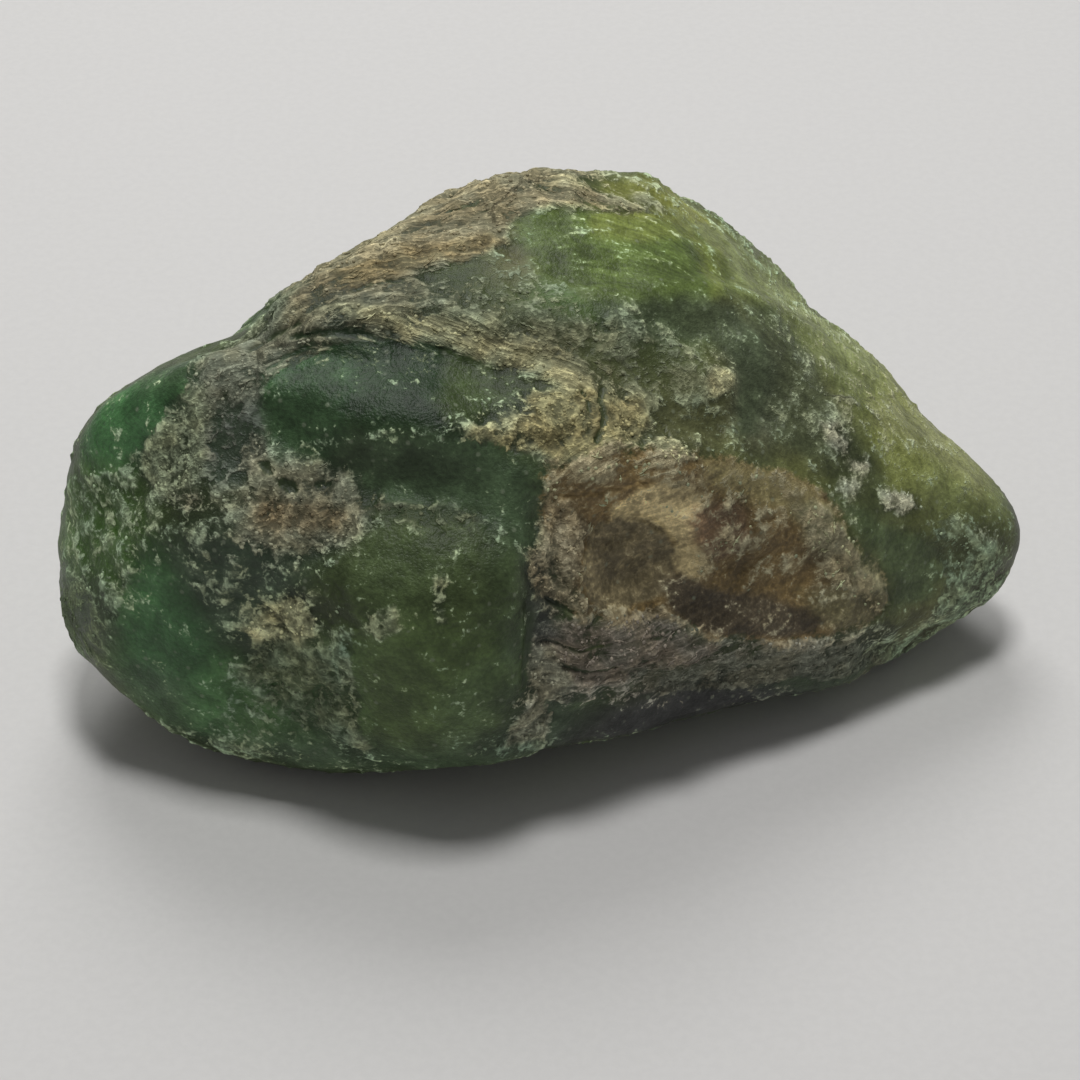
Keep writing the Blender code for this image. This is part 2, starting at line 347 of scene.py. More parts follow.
# %% Body patches
BODY = {
    "back_moss": Patch(60, 20, 4.5, 3.0, 20, 0.6, 0.9, "moss"),
    "back_bottle": Patch(110, 5, 3.4, 2.4, -10, 0.6, 1, "bottle"),
    "back_emerald": Patch(160, 5, 3.0, 2.2, 20, 0.6, 0.9, "emerald"),
    "back_olive": Patch(85, -12, 3.2, 1.8, 5, 0.6, 0.9, "olive"),
    "back_ink": Patch(130, -22, 3.0, 1.5, 0, 0.7, 0.9, "ink_blue"),
    "back_lime": Patch(30, 0, 3.2, 1.2, -20, 0.8, 0.8, "lime"),
    "back_shade": Patch(35, -25, 3.0, 1.4, -10, 0.7, 0.8, "deep"),
    "right_slope": Patch(11, 19, 4.58, 3.81, -17, 0.5, 1, "moss"),
    "right_shade": Patch(-1, 30, 1.77, 0.88, 62, 0.6, 0.8, "slate_green"),
    "slope_light": Patch(26, 17, 2.23, 1.12, 27, 0.7, 0.9, "silk"),
    "lime_glow": Patch(12, 3, 2.12, 1.06, -14, 0.9, 1, "lime"),
    "slope_foot": Patch(1, -1, 1.13, 0.79, 67, 0.8, 0.7, "silk"),
    "tip_green": Patch(-8, -9, 1.26, 0.84, 86, 0.6, 0.9, "fern"),
    "tip_end": Patch(-0, -8, 1.08, 0.55, 86, 0.8, 0.7, "moss"),
    "tip_under": Patch(-2, -19, 1.34, 0.8, 70, 0.7, 0.7, "slate_green"),
    "crest_green": Patch(81, 65, 3.33, 0.68, 31, 0.7, 0.7, "moss"),
    "grass_dome": Patch(44, 61, 1.85, 1.08, 66, 0.8, 1, "grass"),
    "grass_low": Patch(6, 77, 1.72, 0.91, 71, 0.8, 0.9, "leaf"),
    "dome_shade": Patch(113, 80, 0.93, 0.6, 28, 0.8, 0.8, "slate_green"),
    "top_knob": Patch(58, 44, 1.5, 0.62, 70, 0.8, 0.9, "lime"),
    "knob_side": Patch(44, 36, 1.29, 0.91, -33, 0.8, 0.8, "silk"),
    "dark_band": Patch(-4, 37, 1.39, 0.48, 39, 0.7, 0.9, "ink"),
    "saddle": Patch(-36, 72, 2.61, 0.75, -52, 0.7, 0.55, "slate_green"),
    "saddle_right": Patch(-32, 44, 1.64, 0.68, -40, 0.7, 0.5, "slate_green"),
    "eye_dome": Patch(-141, 53, 2.37, 1.37, 30, 0.6, 1, "bottle_deep"),
    "eye_emerald": Patch(-155, 41, 0.93, 0.71, -50, 0.8, 0.9, "emerald"),
    "eye_blue": Patch(-154, 59, 1.06, 0.44, 60, 0.8, 0.9, "slate_blue"),
    "eye_olive": Patch(-120, 63, 0.85, 0.65, 14, 0.8, 0.8, "leaf_dark"),
    "hollow": Patch(-123, 40, 2.16, 0.69, 19, 0.6, 1, "deep"),
    "hollow_left": Patch(-137, 42, 1.16, 0.43, 27, 0.8, 0.6, "deep"),
    "left_lobe": Patch(-169, 23, 1.63, 0.72, 85, 0.5, 1, "emerald"),
    # painted glow and sheen along the left lobe's rim, where light comes through the thin edge
    "lobe_rim": Patch(-172, 19, 0.94, 0.39, -87, 0.8, 0.9, "emerald_glow"),
    "lobe_back": Patch(-170, 31, 0.81, 0.48, 54, 0.8, 0.7, "deep"),
    "left_side": Patch(-167, 5, 1.61, 1.2, 40, 0.6, 1, "leaf"),
    "left_low": Patch(-153, -5, 2.08, 0.96, -89, 0.6, 1, "emerald"),
    # painted glow: light shining through the stone low on the left
    "left_glow": Patch(-155, 3, 0.96, 0.43, -86, 0.9, 0.7, "emerald_glow"),
    "heel_skin": Patch(-169, -8, 1.25, 0.8, 29, 0.6, 1, "skin"),
    "low_front": Patch(-144, -18, 2.08, 0.92, -26, 0.6, 1, "bottle"),
    "low_middle": Patch(-136, -10, 2.12, 1.01, 30, 0.7, 0.8, "olive_dark"),
    "blue_patch": Patch(-146, 12, 1.2, 0.98, 55, 0.6, 1, "ink_blue"),
    "blue_low": Patch(-145, 2, 0.87, 0.47, -73, 0.8, 0.7, "ink_blue"),
    "lobe_top": Patch(-112, 19, 1.84, 1.11, 3, 0.5, 1, "olive"),
    "lobe_low": Patch(-111, -3, 1.91, 1.61, 38, 0.5, 1, "olive_light"),
    "lobe_right": Patch(-97, 8, 1.69, 0.48, -87, 0.8, 0.8, "deep"),
    "lobe_green": Patch(-102, 17, 0.91, 0.7, -16, 0.9, 0.6, "leaf_dark"),
    # painted shade: a dark strip where the front lobe steps down on its right
    "lobe_step": Patch(-88, 2, 1.91, 0.32, -84, 0.7, 0.9, "ink"),
    # painted shade: the underside beneath the front overhang, darkened nearly to black
    "underside_shade": Patch(-44, -32, 3.88, 0.66, 2, 0.6, 1, "ink"),
    "under_right": Patch(-20, -23, 1.26, 0.52, 4, 0.7, 0.8, "deep"),
    "rim_front": Patch(-114, -26, 3.24, 0.68, 9, 0.8, 0.7, "bottle"),
    "eye_left": Area(-153, 39, "eye_green", 0.95, 0.15, [(-0.4, -0.65), (-0.7, 0.4), (-0.7, 1.05),
        (0.1, 0.95), (0.8, 0.4), (0.8, -0.45), (0.45, -1), (0.05, -1)]),
    "eye_slate": Area(-143, 52, "slate_blue", 0.95, 0.2, [(-1.3, -0.1), (-0.7, 0.75), (-0.2, 1.1),
        (0.4, 0.8), (1.05, 0), (0.65, -0.3), (0.55, -0.75), (0.05, -1), (-0.6, -0.4)]),
    "eye_right": Area(-122, 61, "eye_olive", 0.9, 0.18, [(-1, 0.5), (0, 0.95), (0.55, 0.55),
        (0.65, -0.35), (0.1, -0.9), (-0.35, -0.6)]),
    "hollow_floor": Area(-116, 40, "deep", 0.95, 0.18, [(-1.75, 0.3), (-0.7, 0.8), (0.3, 0.95),
        (1.25, 0.65), (1.45, 0.15), (1.65, -1), (1.05, -0.6), (-0.1, -0.45), (-1.45, -0.65),
        (-1.85, -0.3)]),
    "lobe_window": Area(-112, -2, "olive_light", 0.95, 0.15, [(-1.05, 1), (0.05, 1.5), (1.2, 1.2),
        (1.5, 0), (0.95, -0.9), (-0.15, -1.3), (-1.1, -1.25), (-1.2, -0.05)]),
    "grass_window": Area(44, 65, "grass", 1, 0.14, [(1.75, 1.35), (1.25, 0.2), (0.7, -1),
        (0.15, -2.5), (-0.5, -2.7), (-1.6, -1.7), (-1.75, -0.95), (-1.3, 0.4), (-0.75, 1.55),
        (0, 1.9), (0.65, 1.8), (1.3, 1.65)]),
    "saddle_dark": Area(-3, 49, "saddle_dark", 0.9, 0.2, [(0.05, 2.4), (1.05, 0.6), (1.25, -0.3),
        (0.8, -0.85), (-0.15, -1.5), (-0.95, -1.7), (-1.2, -1.25), (-0.15, -0.7), (0.3, -0.05),
        (-0.35, 1.4), (-0.45, 2.2)]),
    "top_lime": Area(60, 44, "lime", 0.95, 0.1, [(0.85, 1.05), (0.35, 0.3), (-0.05, -1.15),
        (-0.8, -1.9), (-0.7, -0.45), (-0.05, 0.85), (0.55, 1.5)]),
    "slope_glow": Area(8, 3, "glow", 0.9, 0.25, [(0.1, 1.35), (2.1, -0.5), (1.15, -0.75),
        (-0.1, -1), (-0.8, -0.85), (-0.7, -0.05), (-0.7, 0.9), (-0.65, 1.5)]),
    "tip_window": Area(-9, -4, "tip_shade", 0.9, 0.18, [(-0.25, 1.5), (0, 1.15), (0.1, 0.8),
        (0.6, 0.05), (0.8, -0.7), (0.35, -1.35), (-0.3, -1.3), (-0.2, -0.55), (-0.3, 0.15),
        (-0.4, 0.8)]),
    # painted shade: the green at the bottom of the left valley, with the same outline as the rind's
    # valley_shade
    "valley_floor_shade": Area(-156, 29, "ink_blue", 0.9, 0.12, [(-0.65, 0.05), (-0.55, 0.65),
        (-0.3, 0.9), (0.2, 0.3), (0.5, -0.1), (0.55, -0.55), (0.3, -0.85), (-0.35, -0.5)]),
    # painted glow: light shining through the left foot's thin edge
    "foot_glow": Area(-150, -7, "emerald_glow", 0.45, 0.3, [(-0.55, 2.35), (-0.15, 1.8),
        (0.15, 0.7), (0.6, -0.55), (0.25, -2.05), (-0.1, -2), (-0.25, -1), (-0.45, 0.25)]),
    "grass_left": Area(72, 77, "leaf_dark", 0.55, 0.2, [(0.95, -0.4), (0.25, -0.85),
        (-0.4, -0.85), (-0.85, 0.5), (-0.3, 0.8), (0.35, 0.6)]),
    "grass_top": Area(52, 55, "lime", 0.35, 0.15, [(0.8, 0.9), (0.3, -0.15), (-0.25, -1.35),
        (-0.75, -1.15), (-0.3, 0.5), (0.35, 1.35)]),
    "grass_right": Area(33, 46, "lime", 0.35, 0.15, [(1.1, -0.1), (0.9, -0.95), (-0.8, 0),
        (-1.1, 0.55), (-0.2, 0.45)]),
    "slope_shadow": Area(-1, 21, "saddle_dark", 0.7, 0.25, [(1.4, 2.25), (2, 1.65), (1.4, 0.9),
        (0.4, 0.25), (-0.05, -0.75), (-0.35, -1.75), (-0.6, -2.6), (-1, -2.05), (-1, -1.2),
        (-0.9, -0.35), (-1.05, 0.5), (-0.4, 1.2), (0.5, 2.1)]),
    "lobe_low_right": Area(-103, -6, "deep", 0.4, 0.3, [(-0.05, 1.1), (0.65, 1.15), (0.65, -0.1),
        (0.05, -1), (-0.7, -1.1), (-0.65, 0.2)]),
}


def washed(patches, points, ground):
    """The tones of the patches, laid over the ground one after another."""
    colour = np.tile(np.array(TONES[ground]), (len(points), 1))
    for patch in patches.values():
        share = min(patch.strength, 1) * share_in(patch, points)
        colour += share[:, None] * (np.array(TONES[patch.tone]) - colour)
    return colour


body_tone = washed(BODY, wandering, "leaf_dark")
print(len(BODY), "washes of green, mean tone", body_tone.mean(0).round(3))

# %% [markdown]
# ## The rind
# The rind is what weathering left of the rock around the garnet: cream and tan where it is clay, brown where
# iron has rusted in it. It is thick in the hollows and along the crest, and worn through on the bulges.
# Two numbers describe it: its tone, and its cover from 0 (bare green) to 1 (solid crust). A third says how
# streaky it is, since along the crest the rind splits into thin parallel layers.

# %% Iron stains
IRON = {
    "pocket_layers": Area(-63, 41, "rust", 0.85, 0.2, [(-1.5, 0.05), (-1.3, 0.45), (-0.8, 0.7),
        (-0.2, 0.7), (0.8, 0.5), (1.65, 0.1), (1.8, -0.25), (1.55, -0.45), (0.7, -0.25),
        (0, -0.3), (-0.35, -0.55), (-0.85, -0.4), (-1.25, -0.25)]),
    "pocket_olive": Area(-20, 18, "ochre_dark", 0.85, 0.3, [(-0.9, 1.55), (-0.2, 0.85), (0.45, 0),
        (0.75, -0.6), (0.75, -1.15), (0.45, -1.35), (0, -0.7), (-0.4, 0.2), (-1.05, 1.05)]),
    "pocket_brown": Area(-25, 3, "brown", 0.95, 0.2, [(-0.25, 1.45), (0.5, 0.8), (0.85, 0.05),
        (1.05, -0.7), (0.6, -1.25), (0, -1.2), (-0.5, -0.5), (-0.95, 0.1), (-1.05, 0.75),
        (-0.5, 0.5)]),
    "pocket_rim": Area(-14, -1, "straw", 0.85, 0.14, [(-0.35, 1.1), (0, 1.15), (0.15, 0.85),
        (0.1, 0.25), (0.3, -0.35), (0.45, -0.95), (0.3, -1.35), (-0.1, -1), (-0.15, -0.45),
        (-0.25, 0.15), (-0.45, 0.7)]),
    "pocket_tip": Area(-16, -11, "ochre", 0.85, 0.16, [(-0.45, 0.45), (0.05, 0.6), (0.2, 0.25),
        (0.65, 0.1), (0.55, -0.2), (0.2, -0.45), (-0.35, -0.5), (-0.6, -0.1)]),
    "pale_wedge": Area(-49, 28, "wedge", 0.95, 0.07, [(-1, 0.25), (-0.9, 0.6), (-0.5, 0.7),
        (0.2, 0.6), (0.65, 0.3), (0.95, -0.15), (0.7, -0.5), (0.45, -1), (0.1, -0.7),
        (-0.25, -0.15), (-0.6, 0.1)]),
    "red_core": Area(-34, 17, "rust_dark", 0.95, 0.14, [(-0.4, 0.7), (0.2, 0.5), (0.65, 0.05),
        (0.5, -0.4), (0.25, -0.65), (-0.25, -0.65), (-0.55, -0.2), (-0.65, 0.35)]),
    "spur": Area(-43, 10, "wedge", 0.9, 0.08, [(-0.3, 0.3), (0, 0.4), (0.3, 0), (0.25, -0.35),
        (-0.1, -0.4), (-0.35, -0.15)]),
    "brown_pane": Area(-63, 17, "pane", 0.97, 0.035, [(-0.8, 0.45), (-0.7, 0.75), (-0.4, 1),
        (0.05, 0.95), (0.6, 0.7), (0.9, 0.35), (1.05, -0.1), (1, -0.6), (0.85, -0.95),
        (0.35, -1.15), (-0.3, -1), (-0.8, -0.75), (-0.95, -0.3), (-0.95, 0.2)]),
    "umber_band": Area(-35, -6, "umber", 0.92, 0.16, [(-1.1, 0.8), (-0.75, 0.9), (-0.5, 0.65),
        (0.05, 0.35), (0.7, 0), (1.2, -0.3), (1.6, -0.7), (1.25, -1), (0.4, -0.8), (-0.6, -0.4),
        (-1.05, -0.05), (-1.3, 0.25)]),
}
iron_tone = washed(IRON, wandering, "brown")
print(len(IRON), "areas of iron stain")

# %% Rind patches
RIND = {
    "back_crest": Patch(110, 35, 4.0, 1.5, 5, 0.6, 0.85, "tan"),
    "back_crest_rust": Patch(100, 28, 2.0, 0.6, 12, 0.7, 0.9, "rust"),
    "back_saddle": Patch(70, 15, 3.2, 1.1, -20, 0.8, 0.6, "sage"),
    "back_valley": Patch(140, 20, 2.6, 0.9, 60, 0.8, 0.75, "greige"),
    "back_clay": Patch(118, -5, 2.0, 1.3, 10, 0.6, 0.8, "bark"),
    "back_clay_heart": Patch(120, -5, 1.0, 0.6, 10, 0.7, 0.95, "rust_dark"),
    "back_foot": Patch(95, -28, 4.0, 1.0, 0, 0.8, 0.6, "greige_dark"),
    "back_right_clay": Patch(45, -8, 2.4, 0.8, -15, 0.8, 0.65, "khaki_dark"),
    "back_left_specks": Patch(168, -12, 2.2, 1.5, 40, 0.8, 0.5, "sage"),
    "back_right_specks": Patch(28, 12, 3.4, 1.0, -30, 0.8, 0.45, "sage"),
    "valley_top": Patch(-171, 40, 1.06, 0.78, -61, 0.7, 0.85, "greige"),
    "valley_mid": Patch(-162, 30, 1.54, 0.53, -71, 0.7, 0.85, "greige"),
    "valley_low": Patch(-154, 22, 1.4, 0.85, 34, 0.8, 0.72, "greige"),
    "valley_dark": Patch(-158, 30, 0.75, 0.32, -65, 0.8, 0.6, "slate"),
    "left_speckle": Patch(-167, 10, 1.53, 1.34, 58, 0.8, 0.62, "sage"),
    "left_low_speckle": Patch(-163, -0, 1.37, 1.04, 26, 0.8, 0.6, "sage"),
    "heel": Patch(-168, -8, 1.15, 0.8, 27, 0.7, 0.75, "skin_light"),
    "crest_ridge_left": Patch(160, 46, 2.6, 0.9, 40, 0.6, 0.9, "tan"),
    "crest_ridge": Patch(128, 54, 2.8, 1.3, 30, 0.6, 0.92, "tan"),
    "crest_ridge_right": Patch(92, 56, 2.2, 1.0, 0, 0.6, 0.9, "tan"),
    "crest_left": Patch(-179, 53, 1.58, 0.49, -39, 0.6, 0.95, "tan"),
    "crest_mid": Patch(139, 65, 2.18, 0.69, -3, 0.6, 0.95, "tan"),
    "crest_top": Patch(89, 63, 2.4, 0.35, 24, 0.6, 0.92, "tan"),
    "crest_brown": Patch(165, 64, 1.38, 0.21, -47, 0.8, 0.9, "rust"),
    "crest_brown_top": Patch(82, 64, 1.26, 0.2, 22, 0.8, 0.8, "rust"),
    "crest_low": Patch(-172, 61, 2.24, 0.68, -79, 0.8, 0.78, "greige"),
    "dome_edge": Patch(-158, 81, 1.49, 0.85, 66, 0.8, 0.5, "sage_low"),
    "arcs": Patch(-157, 65, 1.8, 0.27, 55, 0.7, 0.85, "straw"),
    "arcs_right": Patch(-73, 74, 1.72, 0.37, -31, 0.7, 0.8, "straw"),
    "saddle": Patch(-34, 72, 2.41, 0.77, -51, 0.8, 0.68, "sage_low"),
    "saddle_right": Patch(-18, 51, 1.83, 0.76, -63, 0.8, 0.5, "sage_low"),
    "mound": Patch(-68, 57, 1.44, 0.78, -11, 0.6, 0.95, "straw"),
    "mound_left": Patch(-101, 55, 0.82, 0.41, 22, 0.8, 0.75, "straw"),
    "pale_spot": Patch(-10, 44, 0.22, 0.16, -45, 0.8, 0.9, "straw_light"),
    "knob": Patch(63, 47, 2.1, 0.47, 61, 0.8, 0.45, "lime_pale"),
    "dome_streak": Patch(33, 57, 1.12, 0.27, 78, 0.9, 0.7, "grass_pale"),
    "slope_specks": Patch(4, 24, 1.84, 1.42, 38, 0.8, 0.4, "sage_low"),
    # partly painted sheen: pale silk streaks, and the whitish sheen of the right slope
    "slope_silk_and_sheen": Patch(15, 8, 2.23, 1.8, 59, 0.8, 0.3, "silk_and_sheen"),
    "tip_speck": Patch(-1, -9, 1.26, 0.55, 88, 0.8, 0.58, "sage"),
    "tip_lip": Patch(-3, -21, 1.77, 0.88, 84, 0.7, 0.8, "sage"),
    "rust": Patch(-142, 25, 1.07, 0.75, 32, 0.6, 0.95, "bark"),
    "rust_core": Patch(-141, 25, 0.52, 0.28, 27, 0.8, 1, "rust_dark"),
    "rust_right": Patch(-125, 31, 1.46, 0.37, 13, 0.8, 0.42, "greige_low"),
    "blue_rim": Patch(-144, 17, 0.96, 0.36, 24, 0.9, 0.66, "bark"),
    "khaki": Patch(-139, 5, 0.83, 0.45, 45, 0.7, 0.95, "sand"),
    "khaki_low": Patch(-136, -8, 1.8, 1.06, 52, 0.8, 0.62, "mottle"),
    "lobe_edge": Patch(-127, -9, 1.89, 0.42, 87, 0.8, 0.7, "khaki_dark"),
    "lobe_fleck_a": Patch(-111, 19, 0.62, 0.21, -76, 0.7, 0.7, "khaki_light"),
    "lobe_fleck_b": Patch(-119, 12, 0.58, 0.23, 27, 0.7, 0.7, "khaki_light"),
    "lobe_fleck_c": Patch(-136, 5, 1.39, 0.29, 26, 0.9, 0.45, "khaki_light"),
    "lobe_line": Patch(-107, 29, 1.37, 0.15, -10, 0.8, 0.45, "greige_low"),
    "foot_line": Patch(-151, -21, 1.35, 0.51, -37, 0.8, 0.5, "sage"),
    "left_of_pocket": Patch(-84, 26, 1.36, 0.53, 86, 0.5, 0.95, "buff"),
    "left_low_pocket": Patch(-85, -12, 1.4, 0.68, 81, 0.6, 0.9, "khaki"),
    "under_pocket": Patch(-71, -6, 2.11, 0.76, -21, 0.5, 0.95, "plum"),
    "under_pocket_right": Patch(-42, -18, 2.29, 1.2, -13, 0.6, 0.88, "plum_grey"),
    "crust_foot": Patch(-64, -23, 2.9, 0.6, -21, 0.8, 0.8, "greige_dark"),
    "lip_fibres": Patch(-25, -20, 2.16, 0.54, 2, 0.8, 0.72, "greige_dark"),
    "lip_fibres_right": Patch(-7, -24, 1.24, 0.83, 2, 0.8, 0.65, "sage"),
    "under_specks": Patch(-46, -34, 3.71, 1.08, -11, 0.9, 0.42, "slate"),
    "bottom_right_lobe": Patch(-96, -22, 1.34, 0.38, -22, 0.8, 0.5, "khaki_dark"),
    "pocket_threads": Patch(-36, 17, 3.13, 1.37, -42, 0.5, 0.42, "buff"),
    "pocket_rim_threads": Patch(-15, -2, 1.49, 0.26, -81, 0.6, 0.8, "straw"),
    "pocket_top_threads": Patch(-63, 45, 1.75, 0.35, -3, 0.6, 0.6, "straw"),
    "crest_bare_low": Patch(153, 74, 1, 0.37, -46, 0.8, 0.35, "slate"),
    "arcs_left": Patch(-168, 46, 1.27, 0.17, 74, 0.8, 0.7, "greige"),
    "left_arc": Patch(-167, 35, 0.79, 0.21, -38, 0.8, 0.8, "greige"),
    "side_specks": Patch(-155, 14, 1.08, 0.57, 52, 0.8, 0.5, "sage"),
    "foot_specks": Patch(-154, -13, 0.96, 0.63, 77, 0.8, 0.42, "sage"),
    "low_middle_specks": Patch(-144, -13, 0.85, 0.78, 1, 0.9, 0.45, "khaki_dark"),
    "pocket_flecks": Patch(-29, 18, 0.88, 0.57, -31, 0.8, 0.55, "straw"),
    "crest_skin": Area(135, 67, "tan", 0.95, 0.12, [(3.6, -0.9), (2.3, -0.6), (0.95, -0.55),
        (-0.65, -0.8), (-1.5, -0.15), (-2.45, 0.45), (-3.2, 0.75), (-3.3, 1.1), (-2.05, 0.8),
        (-1.15, 0.6), (-0.55, 0.65), (0.6, 0.15), (1.6, -0.45), (2.55, -0.9), (3.5, -0.65)]),
    "crest_iron": Area(161, 66, "crest_rust", 0.95, 0.12, [(0.9, -1.5), (0.25, -0.7), (-0.4, 0.2),
        (-1.2, 1.1), (-1.25, 1.45), (-0.5, 0.9), (0.15, 0.15), (0.8, -0.55), (1.3, -1.05)]),
    "valley_crust": Area(-165, 38, "greige", 0.85, 0.18, [(-0.1, -0.7), (-0.6, -0.1),
        (-0.5, 0.35), (-0.4, 1.05), (-0.2, 1.3), (-0.15, 0.75), (0.3, 0.25), (0.6, -0.2),
        (0.6, -0.7), (0.5, -1.3), (0.15, -1.35)]),
    "valley_khaki": Area(-162, 24, "khaki_low", 0.86, 0.15, [(-0.55, -0.05), (-0.45, 0.65),
        (-0.3, 1.15), (0, 0.85), (0.3, 0.35), (0.75, -0.05), (0.9, -0.8), (0.1, -1.15),
        (-0.4, -0.9)]),
    "valley_shade": Area(-156, 29, "slate", 0.5, 0.12, [(-0.6, 0.05), (-0.5, 0.6), (-0.3, 0.9),
        (0.2, 0.3), (0.5, -0.1), (0.55, -0.55), (0.3, -0.85), (-0.3, -0.45)]),
    "valley_clump": Area(-153, 28, "bark", 0.95, 0.08, [(-0.3, 0.05), (-0.3, 0.3), (-0.1, 0.3),
        (0.25, 0), (0.25, -0.25), (0, -0.3)]),
    "valley_ring": Area(-155, 20, "bark", 0.85, 0.08, [(-0.25, -0.1), (-0.1, 0.15), (0.15, 0.2),
        (0.3, 0), (0.15, -0.2)]),
    "dome_layers": Area(-125, 73, "straw", 0.9, 0.1, [(-1.85, -0.6), (-1.1, -0.2), (-0.45, 0.15),
        (0.1, 0.25), (1.05, 0.5), (1.9, 0.7), (1.85, 0.3), (0.85, 0.1), (0.1, -0.1),
        (-0.75, -0.45), (-1.55, -0.8)]),
    "tan_mound": Area(-73, 57, "mound", 0.97, 0.12, [(-0.95, 0.8), (-0.15, 0.75), (0.65, 0.65),
        (1.5, 0.3), (1.45, -0.3), (1.1, -0.6), (0.25, -0.65), (-0.55, -0.7), (-1.05, -0.35),
        (-1.15, 0.05), (-0.8, 0.3)]),
    "tan_mound_left": Area(-104, 52, "mound", 0.8, 0.15, [(-0.6, 0.1), (-0.05, 0.2), (0.45, 0.4),
        (0.6, -0.05), (0.05, -0.45), (-0.5, -0.4)]),
    "cream_cluster": Area(-41, 41, "straw_light", 0.95, 0.06, [(-0.2, 0.45), (0.1, 0.2),
        (0.3, -0.15), (0.45, -0.45), (-0.05, -0.25), (-0.55, 0.1)]),
    "spot_halo": Area(-5, 47, "straw", 0.38, 0.3, [(-0.05, 0.45), (0.3, 0.1), (0.3, -0.3),
        (-0.1, -0.55), (-0.15, -0.1), (-0.3, 0.25)]),
    "yellow_spot": Area(-10, 45, "straw_light", 1, 0.1, [(0, 0.25), (0.25, 0.15), (0.25, -0.1),
        (0.05, -0.3), (-0.2, -0.2), (-0.2, 0.05)]),
    "rust_clay": Area(-142, 24, "bark", 0.92, 0.18, [(-0.9, 0.45), (-0.55, 0.8), (0.05, 0.95),
        (0.45, 0.75), (0.95, 0.55), (1.1, 0.1), (0.7, -0.3), (0.35, -0.65), (-0.05, -0.7),
        (-0.3, -1), (-0.6, -0.75), (-0.6, -0.35), (-0.75, 0)]),
    "rust_heart": Area(-141, 24, "rust_heart", 0.97, 0.14, [(-0.7, 0), (-0.2, 0.25), (0.35, 0.4),
        (0.65, 0.25), (0.55, -0.05), (0.1, -0.35), (-0.35, -0.45), (-0.65, -0.3)]),
    "rust_tail": Area(-119, 32, "greige_low", 0.5, 0.12, [(-1.35, -0.1), (-0.25, 0.15),
        (0.8, 0.25), (1.25, 0.05), (0.8, -0.05), (-0.1, -0.1), (-1, -0.3)]),
    "khaki_patch": Area(-139, 5, "sand", 1, 0.1, [(-0.05, 0.45), (0.3, 0.55), (0.35, 0.3),
        (0.7, 0.2), (0.55, -0.1), (-0.05, -0.45), (-0.45, -0.7), (-0.65, -0.5), (-0.4, -0.1)]),
    "khaki_mottle": Area(-137, -8, "mottle", 0.85, 0.22, [(-0.85, 0.8), (0.15, 1.15), (0.8, 0.9),
        (1, -0.15), (0.7, -1.25), (0.05, -1.05), (-0.6, -0.65), (-0.9, 0.1)]),
    "lobe_rim_left": Area(-126, -11, "khaki_low", 0.7, 0.12, [(-0.05, 1.45), (0.3, 1.45),
        (0.35, 0.65), (0.2, -0.3), (0.3, -1.05), (-0.05, -1.4), (-0.3, -0.85), (-0.3, 0.15)]),
    "fleck_high": Area(-111, 17, "khaki_light", 2.2, 0.08, [(-0.25, 0.3), (0, 0.4), (0.15, 0),
        (0.3, -0.4), (0.05, -0.35), (-0.1, 0)]),
    "fleck_left": Area(-120, 12, "khaki_light", 2.2, 0.08, [(-0.3, 0.1), (0.25, 0.4),
        (0.35, 0.05), (0.1, -0.4), (-0.2, -0.2)]),
    "left_column": Area(-82, 22, "buff", 0.93, 0.12, [(-0.4, 1.2), (0, 1.05), (0.4, 0.8),
        (0.55, 0.45), (0.35, 0.25), (0.25, -0.2), (0.4, -0.75), (0.6, -1.1), (0.15, -1.05),
        (-0.2, -0.8), (-0.6, -0.45), (-0.8, 0.05), (-0.75, 0.4), (-0.35, 0.5)]),
    "column_gap": Area(-87, 8, "slate", 0.5, 0.14, [(-0.6, 0.9), (0.15, 0.35), (0.55, -0.05),
        (0.75, -0.5), (0.15, -0.65), (-0.45, -0.25), (-0.75, 0.35)]),
    "low_column": Area(-90, -11, "khaki", 0.9, 0.14, [(-0.4, 1.1), (0.4, 0.85), (0.7, 0.55),
        (0.6, -0.05), (0.4, -0.6), (0.1, -1.2), (-0.6, -1.05), (-0.5, -0.3), (-0.2, 0.05),
        (-0.35, 0.65)]),
    "under_streaks": Area(-67, -7, "plum", 0.92, 0.15, [(-1.1, 1), (-0.55, 0.85), (0.6, 0.4),
        (1.4, -0.05), (2, -0.6), (1.65, -1.05), (0.45, -0.5), (-0.2, -0.6), (-1.1, -0.3),
        (-1.45, 0.2), (-1.4, 0.6)]),
    "under_grey": Area(-29, -26, "plum_grey", 0.85, 0.2, [(-2.95, 0.7), (-1.4, 0.7), (-0.4, 1),
        (1.4, 0.9), (2.5, 0.1), (2.95, -0.8), (0.9, -0.2), (0.45, -1.25), (-1.2, -0.45),
        (-2.15, -0.15)]),
    "mint_a": Area(-4, 18, "mint", 0.75, 0.12, [(0, 0.4), (0.15, 0.2), (0.1, -0.15), (0, -0.4),
        (-0.15, -0.25), (-0.1, 0.05)]),
    "mint_b": Area(-5, 12, "mint", 0.72, 0.12, [(0, 0.3), (0.15, 0.1), (0.15, -0.15),
        (-0.1, -0.2), (-0.2, 0.05)]),
    "mint_c": Area(-8, 9, "mint", 0.55, 0.14, [(-0.05, 0.35), (0.2, 0.1), (-0.05, -0.25),
        (-0.2, 0.05)]),
    "mint_d": Area(-5, 3, "mint", 0.75, 0.12, [(-0.15, 0.4), (0.15, 0.3), (0.3, 0.05),
        (0.2, -0.3), (-0.05, -0.25), (-0.25, 0.05)]),
    "mint_e": Area(-7, -2, "mint", 0.7, 0.12, [(-0.05, 0.3), (0.1, 0.2), (0.1, -0.25),
        (-0.05, -0.3), (-0.2, -0.05)]),
